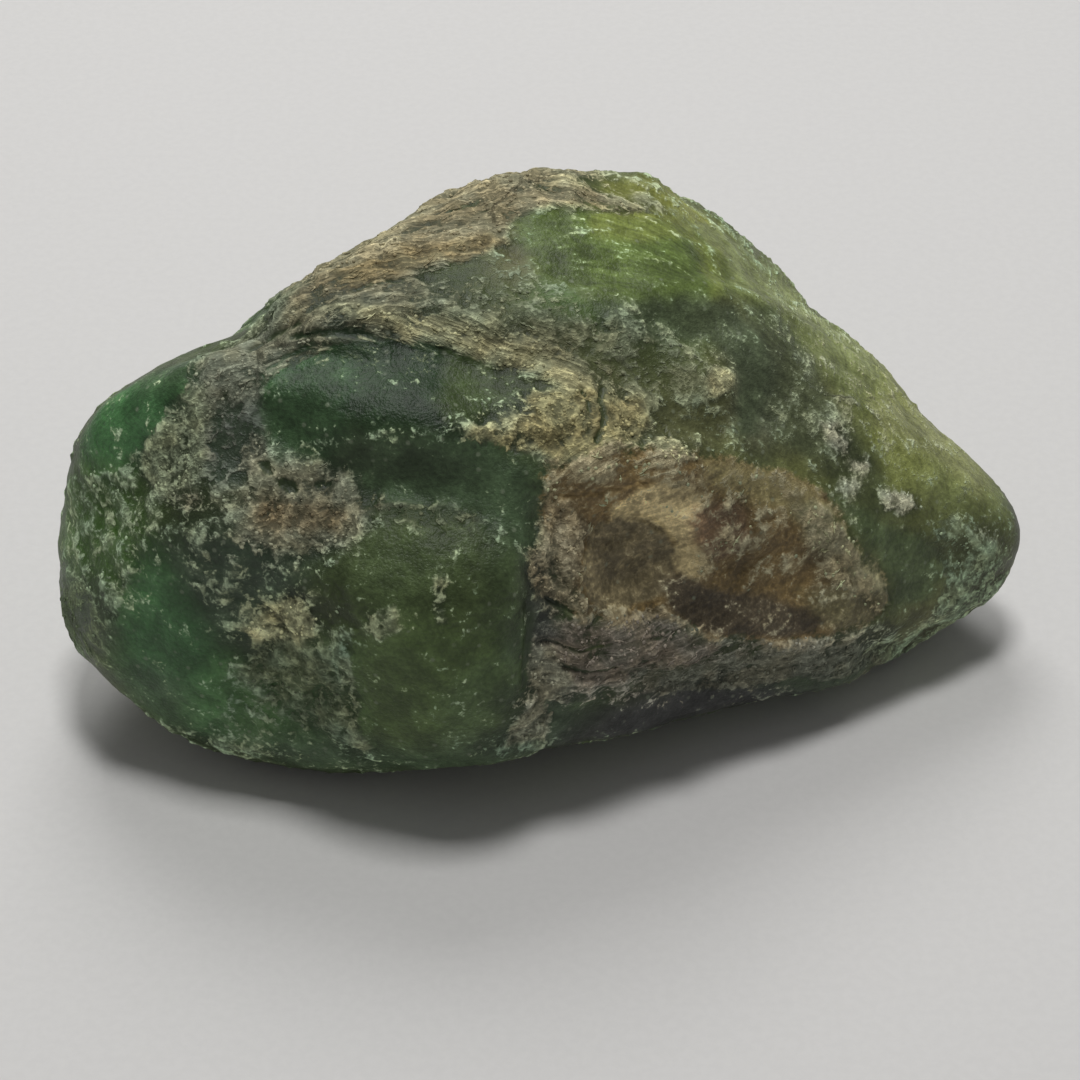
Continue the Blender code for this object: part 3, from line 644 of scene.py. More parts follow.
    "mint_f": Area(1, -7, "mint", 0.62, 0.12, [(-0.1, 0.3), (0.15, 0.2), (0.05, -0.05),
        (-0.15, -0.05)]),
    "grass_dust": Area(43, 61, "grass_pale", 0.3, 0.2, [(1.6, 1.4), (1.3, 0.65), (0.8, -0.65),
        (0.3, -2.15), (-0.45, -2.3), (-1.5, -1.35), (-1.55, -0.35), (-1.05, 0.85), (-0.3, 1.75),
        (0.65, 1.95)]),
    "blue_flecks": Area(-147, 11, "greige", 0.42, 0.2, [(-0.75, 0.4), (-0.3, 0.85), (0.2, 0.95),
        (0.55, 0.55), (0.55, -0.4), (0.2, -1.1), (-0.4, -0.8)]),
}

# %% Lay the rind
BARE_COVER = 0.16  # loose crumbs of rind are everywhere
rind_tone = washed(RIND, wandering, "sage")
cover = np.full(len(points), BARE_COVER)
for patch in RIND.values():
    cover += share_in(patch, wandering) * (patch.strength - cover)
print(len(RIND), "patches of rind, mean cover", round(float(cover.mean()), 2))

# %% [markdown]
# Along the crest and on the slopes the rind splits into thin layers, and their edges show as long streaks
# that curve round the bulges. Each streaky place gets a hub that its layers curve around. A point's place in
# the layers is then its distance from the hub, and how far round it lies. Stretched noise read at those two
# numbers gives streaks that bend as the real ones do.

# %% Where the rind is streaky, and what its layers curve around
Flow = namedtuple("Flow", "bearing elevation half_length half_width turn edge strength hub_east hub_north")
FLOWS = {
    "crest_layers": Flow(155, 61, 4.32, 1.31, -12, 0.5, 0.95, 11.6, 10.3),
    "top_layers": Flow(78, 62, 2.43, 0.53, 35, 0.5, 0.9, -2.3, 9.4),
    "dome_arcs": Flow(45, 62, 2.20, 1.39, 67, 0.5, 0.85, -3.6, 3.8),
    "front_arcs": Flow(-160, 58, 2.34, 0.50, 72, 0.6, 0.95, 3.3, -3.0),
    "front_arcs_right": Flow(-74, 73, 1.74, 0.65, -34, 0.6, 0.8, -3.4, -5.5),
    "valley_layers": Flow(-167, 36, 1.30, 0.45, -27, 0.6, 0.8, 6.4, 1.0),
    "right_silk": Flow(8, 18, 4.21, 3.07, 54, 0.5, 0.55, -17.5, 9.6),
    "tip_silk": Flow(1, -4, 1.22, 0.81, 71, 0.6, 0.5, -3.6, -0.3),
    "pocket_arcs": Flow(-63, 44, 2.06, 0.72, -6, 0.5, 0.6, 0.7, -3.5),
    "pocket_right": Flow(-21, 9, 1.87, 1.08, -73, 0.6, 0.25, -3.7, -1.8),
    "under_layers": Flow(-58, -10, 2.91, 0.79, -13, 0.6, 0.8, -0.2, 8.3),
    "lip_layers": Flow(-16, -22, 2.11, 0.65, -2, 0.6, 0.7, -4.3, 10.7),
    "lobe_foot": Flow(-112, -18, 1.99, 0.46, 9, 0.8, 0.5, 0.8, 8.5),
    "heel_layers": Flow(-164, -8, 1.06, 0.94, -7, 0.6, 0.8, 7.6, 6.8),
    "back_layers": Flow(115, 30, 4.5, 1.8, 5, 0.5, 0.9, 0.0, -12.0),
    "back_silk": Flow(40, 10, 4.5, 2.4, -25, 0.5, 0.8, -6.0, -10.0),
}
BED_TILT = math.radians(-50)  # elsewhere the layers face the upper front
LAYERS, ALONG = 6.0, 0.9  # noise steps in a mm, across the layers and along them


def layer_places(points):
    """How streaky the rind is at each point, where in its layers it lies, and which way they run."""
    y, z = points[:, 1], points[:, 2]
    y_bed = math.cos(BED_TILT) * y - math.sin(BED_TILT) * z
    z_bed = math.sin(BED_TILT) * y + math.cos(BED_TILT) * z
    places = np.stack((points[:, 0] * ALONG, z_bed * LAYERS, y_bed * ALONG), 1)
    ways = np.tile((1.0, 0.0, 0.0), (len(points), 1))
    streak = np.zeros(len(points))
    for flow in FLOWS.values():
        share = flow.strength * share_of(flow, points)
        x, y, _ = flat_view(flow, points)
        up, east, north = compass(flow)
        from_hub = np.hypot(x - flow.hub_east, y - flow.hub_north)
        round_hub = np.arctan2(y - flow.hub_north, x - flow.hub_east)
        round_hub *= math.hypot(flow.hub_east, flow.hub_north)
        depth = (points - heart) @ up
        here = np.stack((round_hub * ALONG, from_hub * LAYERS, depth * ALONG), 1)
        way = np.outer(flow.hub_north - y, east) + np.outer(x - flow.hub_east, north)
        way /= np.linalg.norm(way, axis=1)[:, None]
        stronger = (share > streak)[:, None]
        places = np.where(stronger, here, places)
        ways = np.where(stronger, way, ways)
        streak = np.maximum(streak, share)
    return streak, places, ways


streak, layer_place, layer_way = layer_places(points)
print("streaky share of the skin:", round(float((streak > 0.5).mean()), 2))

# %% [markdown]
# Some edges are too sharp for a soft oval: a smooth window that ends in a ring of rind, the iron-stained
# pocket, a crack, one pale fold, and strips of painted shade below a step or a rim. These are outlines and
# lines with their own corners, in mm to the east and north of a place. Each point keeps how deep it lies
# inside the nearest one. A depth, unlike a share, lets the pattern fray the edge as finely as it likes later
# on.

# %% Windows, stains and lines with an edge of their own
WINDOWS = {
    "umber_band": Outline(-33, -7, [(-1.3, 0.75), (-1, 0.85), (-0.6, 0.65), (-0.1, 0.4), (0.35,
        0.2), (0.85, -0.1), (1.2, -0.35), (1.55, -0.65), (1.25, -0.95), (0.6, -0.85), (0, -0.65),
        (-0.75, -0.3), (-1.15, 0.05), (-1.4, 0.35)]),
    "brown_pane": Outline(-61, 16, [(-0.8, 0.8), (-0.55, 1), (-0.05, 1), (0.45, 0.8), (0.85, 0.45),
        (1.05, 0), (1.05, -0.45), (0.85, -0.7), (0.65, -1.05), (0.1, -1.1), (-0.5, -0.9), (-0.95,
        -0.55), (-1.05, -0.15), (-1.05, 0.45)]),
    "pale_wedge": Outline(-49, 28, [(-1, 0.45), (-0.85, 0.65), (-0.55, 0.75), (-0.05, 0.6), (0.4,
        0.1), (0.7, -0.25), (0.85, -0.7), (0.6, -0.85), (0.25, -0.7), (-0.05, -0.25), (-0.5, 0.1)]),
    "front_lobe": Outline(-113, 3, [(-1.5, 1.7), (-1.2, 2.15), (-0.45, 2.4), (0.5, 2.3), (1.2,
        1.95), (1.5, 1.2), (1.65, 0.25), (1.65, -0.8), (1.35, -1.55), (0.8, -2.2), (0, -2.65),
        (-0.95, -2.85), (-1.3, -2.1), (-1.3, -0.95), (-1.25, 0.4), (-1.4, 1.1)]),
    "eye_dome": Outline(-146, 48, [(-1.25, -1.35), (-1.45, -0.6), (-1.25, 0.25), (-0.65, 1.05), (0,
        1.6), (0.85, 1.8), (1.35, 1.6), (1.4, 0.95), (1.3, 0.35), (0.8, -0.5), (0.15, -1.35), (-0.5,
        -1.7), (-1, -1.7)]),
    "hollow": Outline(-115, 41, [(-1.8, -0.1), (-0.75, 0.55), (0.25, 0.85), (0.95, 0.85), (1.5,
        0.5), (1.45, -0.15), (0.9, -0.5), (0, -0.5), (-0.9, -0.7), (-1.7, -0.55)]),
    "left_lobe": Outline(-172, 21, [(-0.55, -2.1), (-0.5, -1.25), (-0.5, -0.55), (-0.5, 0.35),
        (-1.25, 0.55), (-0.55, 1.45), (0.7, 1.6), (0.85, 0.95), (0.9, 0.2), (0.8, -0.55), (0.45,
        -1.25)]),
    "left_foot": Outline(-154, -7, [(-0.4, 2.1), (0.35, 1.85), (0.7, 1.15), (0.9, 0.2), (0.9,
        -0.95), (0.5, -1.9), (-0.45, -1.75), (-0.8, -1.2), (-0.75, -0.05), (-0.7, 1.05)]),
    "grass_dome": Outline(42, 65, [(0.95, 1.7), (1.2, 0.85), (0.95, -0.55), (0.7, -2.25), (-0.05,
        -2.7), (-1.25, -1.65), (-1.55, -0.7), (-1.15, 0.3), (-0.55, 1.15), (0.15, 1.55), (0.5,
        1.8)]),
    "dark_band": Outline(-1, 38, [(0.95, 0.7), (1.2, 0.3), (0.5, 0.05), (-0.15, -0.45), (-1, -0.75),
        (-1.25, -0.45), (-0.55, 0), (0.1, 0.35)]),
    "right_window": Outline(-8, -10, [(-0.4, 1.1), (0.05, 1.4), (0.5, 0.7), (0.5, -0.1), (0.25,
        -0.75), (0.35, -1.85), (-0.55, -0.65), (-0.35, 0), (-0.45, 0.6)]),
    "under_front": Outline(-40, -31, [(-3.6, 0.65), (-2.5, 0.5), (-1.15, 0.3), (0.25, 0.25), (1.55,
        0.65), (3.45, 0.35), (3.8, -0.1), (2.1, 0.15), (1.4, -0.8), (-0.15, -0.95), (-2.05, -0.55),
        (-3.45, -0.7)]),
}
IRON_POCKET = Outline(-38, 12, [(-2.5, 2.75), (-2.25, 2.9), (-1.7, 2.95), (-1.15, 2.85), (-0.6,
        2.6), (0.35, 2), (1.15, 1.4), (2.05, 0.7), (2.45, 0.2), (2.6, -0.4), (2.7, -1.05), (3,
        -1.7), (3.3, -2.4), (3.25, -2.85), (2.85, -3.1), (2.2, -3.05), (1.3, -2.8), (0.45, -2.45),
        (-0.45, -1.85), (-0.9, -1.35), (-1.5, -0.95), (-2.45, -0.5), (-2.9, -0.15), (-2.85, 0.45),
        (-2.85, 1.1), (-2.7, 1.65), (-2.65, 2.25)])
PALE_LINES = {
    "dome_arc": Line(-159, 57, 0.10, [(-1.1, -3.4), (-1.85, -2.55), (-1.1, -1.4), (-0.6, -0.45),
        (-0.15, 0.4), (0.25, 1), (0.8, 1.65), (1.45, 2.25), (2, 2.6)]),
    "dome_arc_upper": Line(-162, 65, 0.08, [(-1.1, -1.85), (-0.6, -1.1), (-0.25, -0.3), (0.2, 0.45),
        (0.7, 1.1), (1.1, 1.8)]),
    "hollow_ridge": Line(-133, 45, 0.07, [(-1.55, -1.1), (-0.65, -0.5), (0.1, 0.1), (0.8, 0.55),
        (1.2, 1)]),
    "lobe_line": Line(-116, 33, 0.07, [(-1.3, -0.2), (-0.65, 0), (0.05, 0.15), (0.65, 0.05),
        (1.15, -0.05)]),
    "mound_fold": Line(-88, 56, 0.08, [(-0.85, 0.15), (-0.3, 0), (0.3, 0.05), (0.85, -0.15)]),
    "grass_streak": Line(30, 59, 0.12, [(0.2, 0.65), (0.2, 0.15), (0, -0.3), (-0.3, -0.55)]),
    "grass_streak_upper": Line(51, 59, 0.08, [(0.75, 1.45), (0.3, 0.5), (-0.25, -0.55),
        (-0.7, -1.5)]),
    "top_streak": Line(57, 55, 0.08, [(0.9, 1.4), (0.35, 0.45), (-0.3, -0.55), (-0.95, -1.3)]),
    "facet_edge": Line(25, 45, 0.10, [(2.15, -0.1), (1.3, -0.2), (-0.3, 0.2), (-1.1, 0.05),
        (-1.85, -0.2)]),
    "slope_fold": Line(3, 19, 0.08, [(-0.05, 0.85), (0, 0.3), (0.15, -0.3), (0, -0.75)]),
    "lip_fibre": Line(-30, -15, 0.08, [(-2.15, 0.3), (-1.45, 0.25), (-0.5, 0.05), (0.5, -0.15),
        (1.45, -0.35), (2.1, -0.25)]),
    "lip_fibre_low": Line(-39, -23, 0.08, [(-1.85, 0.45), (-0.6, -0.4), (0.15, -0.4), (0.85, 0.05),
        (1.4, 0.45)]),
    "lip_edge": Line(-3, -18, 0.12, [(-0.55, -1.25), (-0.25, -0.7), (-0.3, 0.3), (0.2, 0.55),
        (0.75, 0.75)]),
    "foot_ridge": Line(-147, -23, 0.10, [(-1.15, 0.35), (-0.4, 0.05), (0.4, -0.2), (1.25, -0.3)]),
    "foot_line_right": Line(-87, -22, 0.10, [(-1.65, -0.1), (-1.05, 0), (-0.45, 0.05), (0.15, 0.15),
        (0.95, -0.05), (2, -0.35)]),
    "left_heel_line": Line(-165, -11, 0.08, [(-0.8, 0.6), (0.3, 0.5), (0.5, -0.25), (0.3, -1)]),
    "pocket_edge_left": Line(-85, 28, 0.12, [(-0.2, 1.25), (-0.05, 0.65), (-0.15, 0.05),
        (0.05, -0.65), (0.25, -1.15)]),
    "pocket_fold": Line(-65, 43, 0.10, [(-1.15, 0), (-0.5, 0.15), (0.35, 0.1), (1.25, -0.1)]),
    "pocket_fold_low": Line(-52, 29, 0.08, [(-0.9, 0.4), (-0.25, 0.4), (0.35, -0.1),
        (0.85, -0.55)]),
    "oval_foot": Line(-61, -1, 0.08, [(-1.15, 0.6), (-0.3, 0.1), (0.55, -0.1), (1, -0.45)]),
    "pocket_thread_a": Line(-39, 24, 0.05, [(-0.4, 0.1), (0.05, 0.05), (0.4, -0.05)]),
    "pocket_thread_b": Line(-26, 18, 0.05, [(-0.25, 0.3), (0, -0.05), (0.15, -0.35)]),
    "pocket_thread_c": Line(-31, 11, 0.05, [(0.3, 0.15), (0.05, 0.15), (-0.05, -0.1),
        (-0.35, -0.1)]),
    "pocket_thread_d": Line(-38, 5, 0.05, [(-0.2, 0.3), (0, 0.05), (0.25, -0.3)]),
    "pocket_thread_e": Line(-29, -3, 0.05, [(-0.3, 0.1), (0.2, -0.1)]),
    "pocket_thread_f": Line(-29, 25, 0.05, [(-0.3, 0.35), (0, -0.05), (0.25, -0.3)]),
    "pane_foot": Line(-69, 4, 0.05, [(-0.6, 0.25), (0, 0.05), (0.55, -0.2)]),
    "wedge_edge": Line(-54, 34, 0.05, [(-0.7, -0.2), (-0.6, 0.1), (-0.2, 0.2), (0.5, 0.1),
        (1, -0.15)]),
    "grass_streak_b": Line(51, 52, 0.08, [(0.5, 1.25), (0.15, 0.4), (-0.2, -0.6), (-0.6, -1.1)]),
    "grass_streak_c": Line(19, 60, 0.08, [(-0.1, 0.6), (0.05, 0), (-0.05, -0.6)]),
    "grass_streak_d": Line(36, 44, 0.08, [(0.7, -0.2), (0.05, -0.25), (-0.85, 0.3)]),
}
# Dark lines: cracks, pits and gaps in the rind, and painted shade at the front lobe's step, under the
# pocket's right rim and at the dome's edge.
DARK_LINES = {
    "mound_crack": Line(-61, 58, 0.16, [(0.3, 0.5), (0.1, 0.25), (0.05, -0.05), (-0.1, -0.3),
        (-0.35, -0.5)]),
    "mound_crack_left": Line(-66, 62, 0.10, [(0, 0.25), (0.05, 0.05), (0, -0.2)]),
    # painted shade: a dark line where the front lobe steps down on its right
    "lobe_step": Line(-93, 4, 0.10, [(0, 0.9), (0.05, 0.25), (0, -0.35), (-0.05, -0.95)]),
    "rust_pit": Line(-146, 27, 0.21, [(-0.1, 0.05), (0, 0.05), (0.1, 0)]),
    "rust_pit_right": Line(-142, 30, 0.16, [(-0.05, -0.05), (0.05, 0.05)]),
    "clump_pit": Line(-150, 28, 0.16, [(-0.15, 0.05), (0.05, 0)]),
    "mound_gap": Line(-37, 48, 0.14, [(0, 0.3), (0.05, 0), (-0.05, -0.2)]),
    "dome_shadow": Line(-166, 50, 0.10, [(-0.25, -0.65), (0, 0), (0.25, 0.55)]),
    "pane_rim": Line(-63, 26, 0.07, [(-0.85, -0.2), (-0.8, 0), (-0.55, 0.2), (-0.3, 0.35),
        (0.1, 0.35), (0.6, 0.1), (0.9, -0.25), (1.05, -0.6)]),
    "rim_shadow": Line(-12, -4, 0.08, [(-0.1, 1.5), (-0.05, 1.15), (-0.1, 0.6), (0.05, 0.05),
        (0.2, -0.6), (0.15, -1.05), (-0.25, -1.35)]),
    "layers_gap": Line(-69, 40, 0.06, [(-0.85, 0.05), (-0.3, 0), (0.3, -0.05), (0.95, -0.05)]),
    "column_gap_line": Line(-85, 11, 0.08, [(-0.25, 0.2), (0, 0), (0.3, -0.15)]),
    "valley_gap": Line(-170, 43, 0.08, [(0.1, -0.55), (-0.1, -0.1), (-0.05, 0.5)]),
    "valley_gap_low": Line(-164, 43, 0.08, [(0.2, -0.55), (-0.1, -0.05), (-0.15, 0.45)]),
    "crest_gap": Line(179, 59, 0.08, [(0.2, -0.35), (0, -0.05), (-0.15, 0.45)]),
    "crest_gap_high": Line(123, 63, 0.08, [(0.45, -0.15), (0, 0), (-0.4, 0.05)]),
    "clay_fold": Line(-78, -7, 0.07, [(-0.6, 0.25), (0, -0.05), (0.65, -0.25)]),
    "clay_fold_low": Line(-80, 0, 0.06, [(-0.5, 0.15), (-0.05, -0.05), (0.5, -0.15)]),
}


def keep_on(mesh, name, kind, values):
    """Stores one value a point on the mesh."""
    slot = {"FLOAT": "value", "FLOAT_VECTOR": "vector", "FLOAT_COLOR": "color"}[kind]
    attribute = mesh.attributes.new(name, kind, "POINT")
    attribute.data.foreach_set(slot, np.asarray(values, np.float32).ravel())


def deepest(depth, marks):
    """How deep each point lies in whichever mark it is deepest in."""
    return np.max([depth(mark, points) for mark in marks.values()], 0)


opaque = np.ones((len(points), 1))
tones = {"body_tone": body_tone, "rind_tone": rind_tone, "iron_tone": iron_tone}
vectors = {"place": points, "layer_place": layer_place, "layer_way": layer_way}
numbers = {
    "cover": cover,
    "streak": streak,
    "window": deepest(depth_inside, WINDOWS),
    "iron_pocket": depth_inside(IRON_POCKET, points),
    "pale_line": deepest(depth_on_line, PALE_LINES),
    "dark_line": deepest(depth_on_line, DARK_LINES),
}
for name, values in tones.items():
    keep_on(skin.data, name, "FLOAT_COLOR", np.hstack((values, opaque)))
for name, values in vectors.items():
    keep_on(skin.data, name, "FLOAT_VECTOR", values)
for name, values in numbers.items():
    keep_on(skin.data, name, "FLOAT", values)
print("stored on the skin:", [a.name for a in skin.data.attributes if not a.is_internal])

# %% [markdown]
# ## One pattern for shape and colour
# On the real stone a pale thread of rind is also a raised one. To get that, one pattern is built from noise
# nodes, and both the geometry that raises the rind and the material that colours it use it, at the same
# places: each point keeps where it was before the relief moved it. A short helper writes the nodes, because
# the same noise, multiply and threshold steps come back again and again.

# %% A helper that writes nodes
class Weaver:
    """Adds nodes to a tree and wires them, so that a pattern reads like a formula."""

    def __init__(self, tree):
        self.tree = tree

    def node(self, kind, **settings):
        made = self.tree.nodes.new(kind)
        for name, value in settings.items():
            setattr(made, name, value)
        return made

    def feed(self, socket, value):
        if isinstance(value, bpy.types.NodeSocket):
            self.tree.links.new(value, socket)
        else:
            socket.default_value = value

    def math(self, operation, a, b=0.0, c=0.0, clamp=False):
        made = self.node("ShaderNodeMath", operation=operation, use_clamp=clamp)
        for socket, value in zip(made.inputs, (a, b, c)):
            self.feed(socket, value)
        return made.outputs[0]

    def vector(self, operation, a, b=(0, 0, 0), scale=1.0):
        made = self.node("ShaderNodeVectorMath", operation=operation)
        self.feed(made.inputs[0], a)
        if operation == "SCALE":
            self.feed(made.inputs["Scale"], scale)
        else:
            self.feed(made.inputs[1], b)
        return made.outputs[0]

    def noise(self, place, scale, detail=2.0, roughness=0.5, colour=False):
        made = self.node("ShaderNodeTexNoise")
        self.feed(made.inputs["Vector"], place)
        self.feed(made.inputs["Scale"], scale)
        self.feed(made.inputs["Detail"], detail)
        self.feed(made.inputs["Roughness"], roughness)
        return made.outputs["Color" if colour else 0]

    def step(self, value, start, end, to_start=0.0, to_end=1.0):
        """A smooth step from start to end."""
        made = self.node("ShaderNodeMapRange", interpolation_type="SMOOTHSTEP")
        for socket, given in zip(made.inputs, (value, start, end, to_start, to_end)):
            self.feed(socket, given)
        return made.outputs[0]

    def blend(self, factor, a, b):
        """A mix of two numbers."""
        made = self.node("ShaderNodeMix", data_type="FLOAT")
        for socket, given in zip(made.inputs, (factor, None, a, b)):
            if given is not None:
                self.feed(socket, given)
        return made.outputs[0]


# %% The rind's pattern
# noise steps in a mm, from slow to quick
CLUMPS, DRIFT, THREADS, FLECKS, FINE = 1.6, 1.8, 3.4, 4.8, 11.0
THREAD_WIDTH = 0.07  # as a share of the noise's range
BEND, LAYER_BEND = 0.3, 0.5  # how far the drift bends threads, in mm, and layers, in layers
BANDS, SPLITS = 0.35, 1.6  # bands and splits in a layer
WINDOW_BARE, DARK_BARE, PALE_MORE = -0.72, -0.7, 0.28  # what a window, a gap and a pale line do to the cover


def contour(weave, value, width):
    """1 on the line where a noise crosses its middle value, 0 away from it."""
    return weave.step(weave.math("ABSOLUTE", weave.math("SUBTRACT", value, 0.5)), 0.0, width, 1.0, 0.0)


def sum_of(weave, *terms):
    """The sum of pairs: a number or socket, and what it is multiplied by."""
    total = 0.0
    for value, factor in terms:
        total = weave.math("MULTIPLY_ADD", value, factor, total)
    return total


def frayed(weave, stray, depth, blur=0.05):
    """1 inside an outline and 0 outside it. The stray moves the edge, so that it looks broken, not cut."""
    return weave.step(weave.math("ADD", depth, stray), -blur, blur)


def rind_pattern(weave, read):
    """The rind at a place. read(name) gives a number or vector kept on the mesh."""
    place, streak = read("place"), read("streak")
    drift = weave.noise(place, DRIFT, 1.0, colour=True)
    bend = weave.vector("SUBTRACT", drift, (0.5, 0.5, 0.5))
    bent = weave.vector("ADD", place, weave.vector("SCALE", bend, scale=BEND))
    fine = weave.noise(place, FINE, 2.0, 0.65)
    clump_noise = weave.noise(bent, CLUMPS, 3.0, 0.6)
    stray = sum_of(weave, (clump_noise, 0.75), (fine, 0.35), (0.55, -1.0))

    # grains, as a crust breaks up
    worms = contour(weave, weave.noise(bent, THREADS, 1.5, 0.6), THREAD_WIDTH)
    fleck_noise = weave.noise(bent, FLECKS, 1.5, 0.6)
    crumbs = weave.step(fine, 0.5, 0.68)
    grains = sum_of(weave, (worms, 0.3), (weave.step(fleck_noise, 0.48, 0.64), 0.65), (crumbs, 0.35))
    # and long streaks, where it lies in layers
    layers = weave.vector("ADD", read("layer_place"), weave.vector("SCALE", bend, scale=LAYER_BEND))
    lines = contour(weave, weave.noise(layers, 1.0, 2.0, 0.6), THREAD_WIDTH)
    split_noise = weave.noise(weave.vector("ADD", layers, (5.1, 3.3, 7.7)), SPLITS, 1.5, 0.6)
    streaks = sum_of(weave, (lines, 0.3), (weave.step(split_noise, 0.48, 0.64), 0.6), (crumbs, 0.3))
    bands = weave.noise(weave.vector("ADD", layers, (8.2, 1.9, 4.4)), BANDS, 1.5, 0.6)
    bands = weave.blend(streak, 0.5, weave.step(bands, 0.35, 0.65))
    threads = weave.math("MINIMUM", weave.blend(streak, grains, streaks), 1.0)
    pits = weave.blend(streak, weave.step(fleck_noise, 0.42, 0.30), weave.step(split_noise, 0.42, 0.30))

    window = frayed(weave, stray, read("window"), 0.1)
    little = weave.math("MULTIPLY", stray, 0.3)
    dark = frayed(weave, little, read("dark_line"), 0.06)
    pale = frayed(weave, little, read("pale_line"), 0.05)
    cover = weave.math("MULTIPLY", read("cover"), weave.math("MULTIPLY_ADD", window, WINDOW_BARE, 1.0))
    cover = weave.math("MULTIPLY_ADD", pale, PALE_MORE, cover)
    cover = weave.math("MULTIPLY", cover, weave.math("MULTIPLY_ADD", dark, DARK_BARE, 1.0))
    cover = weave.math("MULTIPLY", cover, weave.blend(bands, 0.86, 1.14))
    clumps = weave.step(clump_noise, 0.34, 0.66)
    field = sum_of(weave, (threads, 0.42), (clumps, 0.48), (fine, 0.4), (0.2, -1.0))
    bar = weave.math("MULTIPLY_ADD", cover, -0.95, 0.9)
    lies = weave.step(field, weave.math("SUBTRACT", bar, 0.18), weave.math("ADD", bar, 0.18))
    # thin rind is a film that the green shows through
    veil = sum_of(weave, (clumps, 0.45), (fine, 0.4), (cover, 0.75))
    film = weave.math("MULTIPLY", weave.step(veil, 0.66, 1.16), 0.55)
    return {
        "place": place, "drift": drift, "fine": fine, "clumps": clumps, "threads": threads, "pits": pits,
        "window": window, "dark": dark, "pale": pale, "cover": cover, "lies": lies, "film": film,
        "bands": bands, "stray": stray, "splits": split_noise,
    }


# %% [markdown]
# ## Relief
# The rind stands proud of the green by a tenth of a millimetre, and its threads a little more. A displacement
# in the material would show only in the render. Geometry Nodes move the points themselves, along their
# normals, with named inputs for the heights. The foot stays flat, because the stone rests on it.

# %% The relief's node tree
def named(weave, kind, name):
    made = weave.node("GeometryNodeInputNamedAttribute", data_type=kind)
    made.inputs["Name"].default_value = name
    return made.outputs["Attribute"]


def skin_reader(weave):
    return lambda name: named(weave, "FLOAT_VECTOR" if name.endswith("place") else "FLOAT", name)


def new_geometry_tree(name, sizes):
    """An empty tree with a geometry input, a material input and one named number for each size."""
    tree = bpy.data.node_groups.new(name, "GeometryNodeTree")
    sides = tree.interface
    sides.new_socket("Geometry", in_out="INPUT", socket_type="NodeSocketGeometry")
    sides.new_socket("Geometry", in_out="OUTPUT", socket_type="NodeSocketGeometry")
    sides.new_socket("Material", in_out="INPUT", socket_type="NodeSocketMaterial")
    for label in sizes:
        sides.new_socket(label, in_out="INPUT", socket_type="NodeSocketFloat")
    weave = Weaver(tree)
    return weave, weave.node("NodeGroupInput").outputs, weave.node("NodeGroupOutput").inputs


def end_tree(weave, geometry, given, out):
    """Instances become plain faces, and all of it gets the tree's material."""
    real = weave.node("GeometryNodeRealizeInstances")
    weave.feed(real.inputs[0], geometry)
    painted = weave.node("GeometryNodeSetMaterial")
    weave.feed(painted.inputs["Geometry"], real.outputs[0])
    weave.feed(painted.inputs["Material"], given["Material"])
    weave.feed(out[0], painted.outputs[0])


def apply_tree(piece, weave, material, sizes, name):
    """Runs the tree on the piece with these sizes, and gives back the result as a plain mesh."""
    modifier = piece.modifiers.new("tree", "NODES")
    modifier.node_group = weave.tree
    values = dict(sizes, Material=material)
    for item in weave.tree.interface.items_tree:
        if item.in_out == "INPUT" and item.name in values:
            modifier[item.identifier] = values[item.name]
    made = plain_mesh(piece, name)
    piece.modifiers.remove(modifier)
    return made


SWELLS = 0.9  # swells in a mm, roughly
FOOT_EDGE = 0.02  # in mm above the table: lower than this, nothing moves
RELIEF = {  # in mm
    "Swell": 0.17,  # slow rises and falls everywhere
    "Rind": 0.02,  # of the rind above the green
    "Thread": 0.018,  # of a thread above the rind
    "Layer": 0.09,  # from one band of layers to the next, where the rind is streaky
    "Lump": 0.14,  # of the lumps where the rind is thick
    "Pit": 0.04,
    "Crack": 0.05,
}


def relief_tree():
    weave, given, out = new_geometry_tree("weathered skin", RELIEF)

    read = skin_reader(weave)
    rind = rind_pattern(weave, read)
    place, lies = rind["place"], rind["lies"]
    swell = weave.math("SUBTRACT", weave.noise(place, SWELLS, 3.0, 0.55), 0.5)
    height = weave.math("MULTIPLY", swell, given["Swell"])
    raised = weave.math("MULTIPLY_ADD", rind["threads"], given["Thread"], given["Rind"])
    height = weave.math("MULTIPLY_ADD", raised, lies, height)
    layers = weave.math("MULTIPLY", weave.math("SUBTRACT", rind["bands"], 0.5), rind["cover"])
    height = weave.math("MULTIPLY_ADD", layers, given["Layer"], height)
    lumps = weave.math("MULTIPLY", weave.math("SUBTRACT", rind["clumps"], 0.5), rind["cover"])
    height = weave.math("MULTIPLY_ADD", lumps, given["Lump"], height)
    sunk = weave.math("MULTIPLY", weave.math("MULTIPLY", rind["pits"], lies), given["Pit"])
    height = weave.math("SUBTRACT", height, sunk)
    height = weave.math("SUBTRACT", height, weave.math("MULTIPLY", rind["dark"], given["Crack"]))
    # nothing moves at the flat foot
    split = weave.node("ShaderNodeSeparateXYZ")
    weave.feed(split.inputs[0], place)
    height = weave.math("MULTIPLY", height, weave.step(split.outputs[2], FOOT_EDGE, FLAT_RIM))
    height = weave.math("MULTIPLY", height, MM)
    moved = weave.node("GeometryNodeSetPosition")
    weave.feed(moved.inputs["Geometry"], given["Geometry"])
    offset = weave.vector("SCALE", weave.node("GeometryNodeInputNormal").outputs[0], scale=height)
    weave.feed(moved.inputs["Offset"], offset)
    end_tree(weave, moved.outputs[0], given, out)
    return weave


relief = relief_tree()
print("the relief's tree has", len(relief.tree.nodes), "nodes")

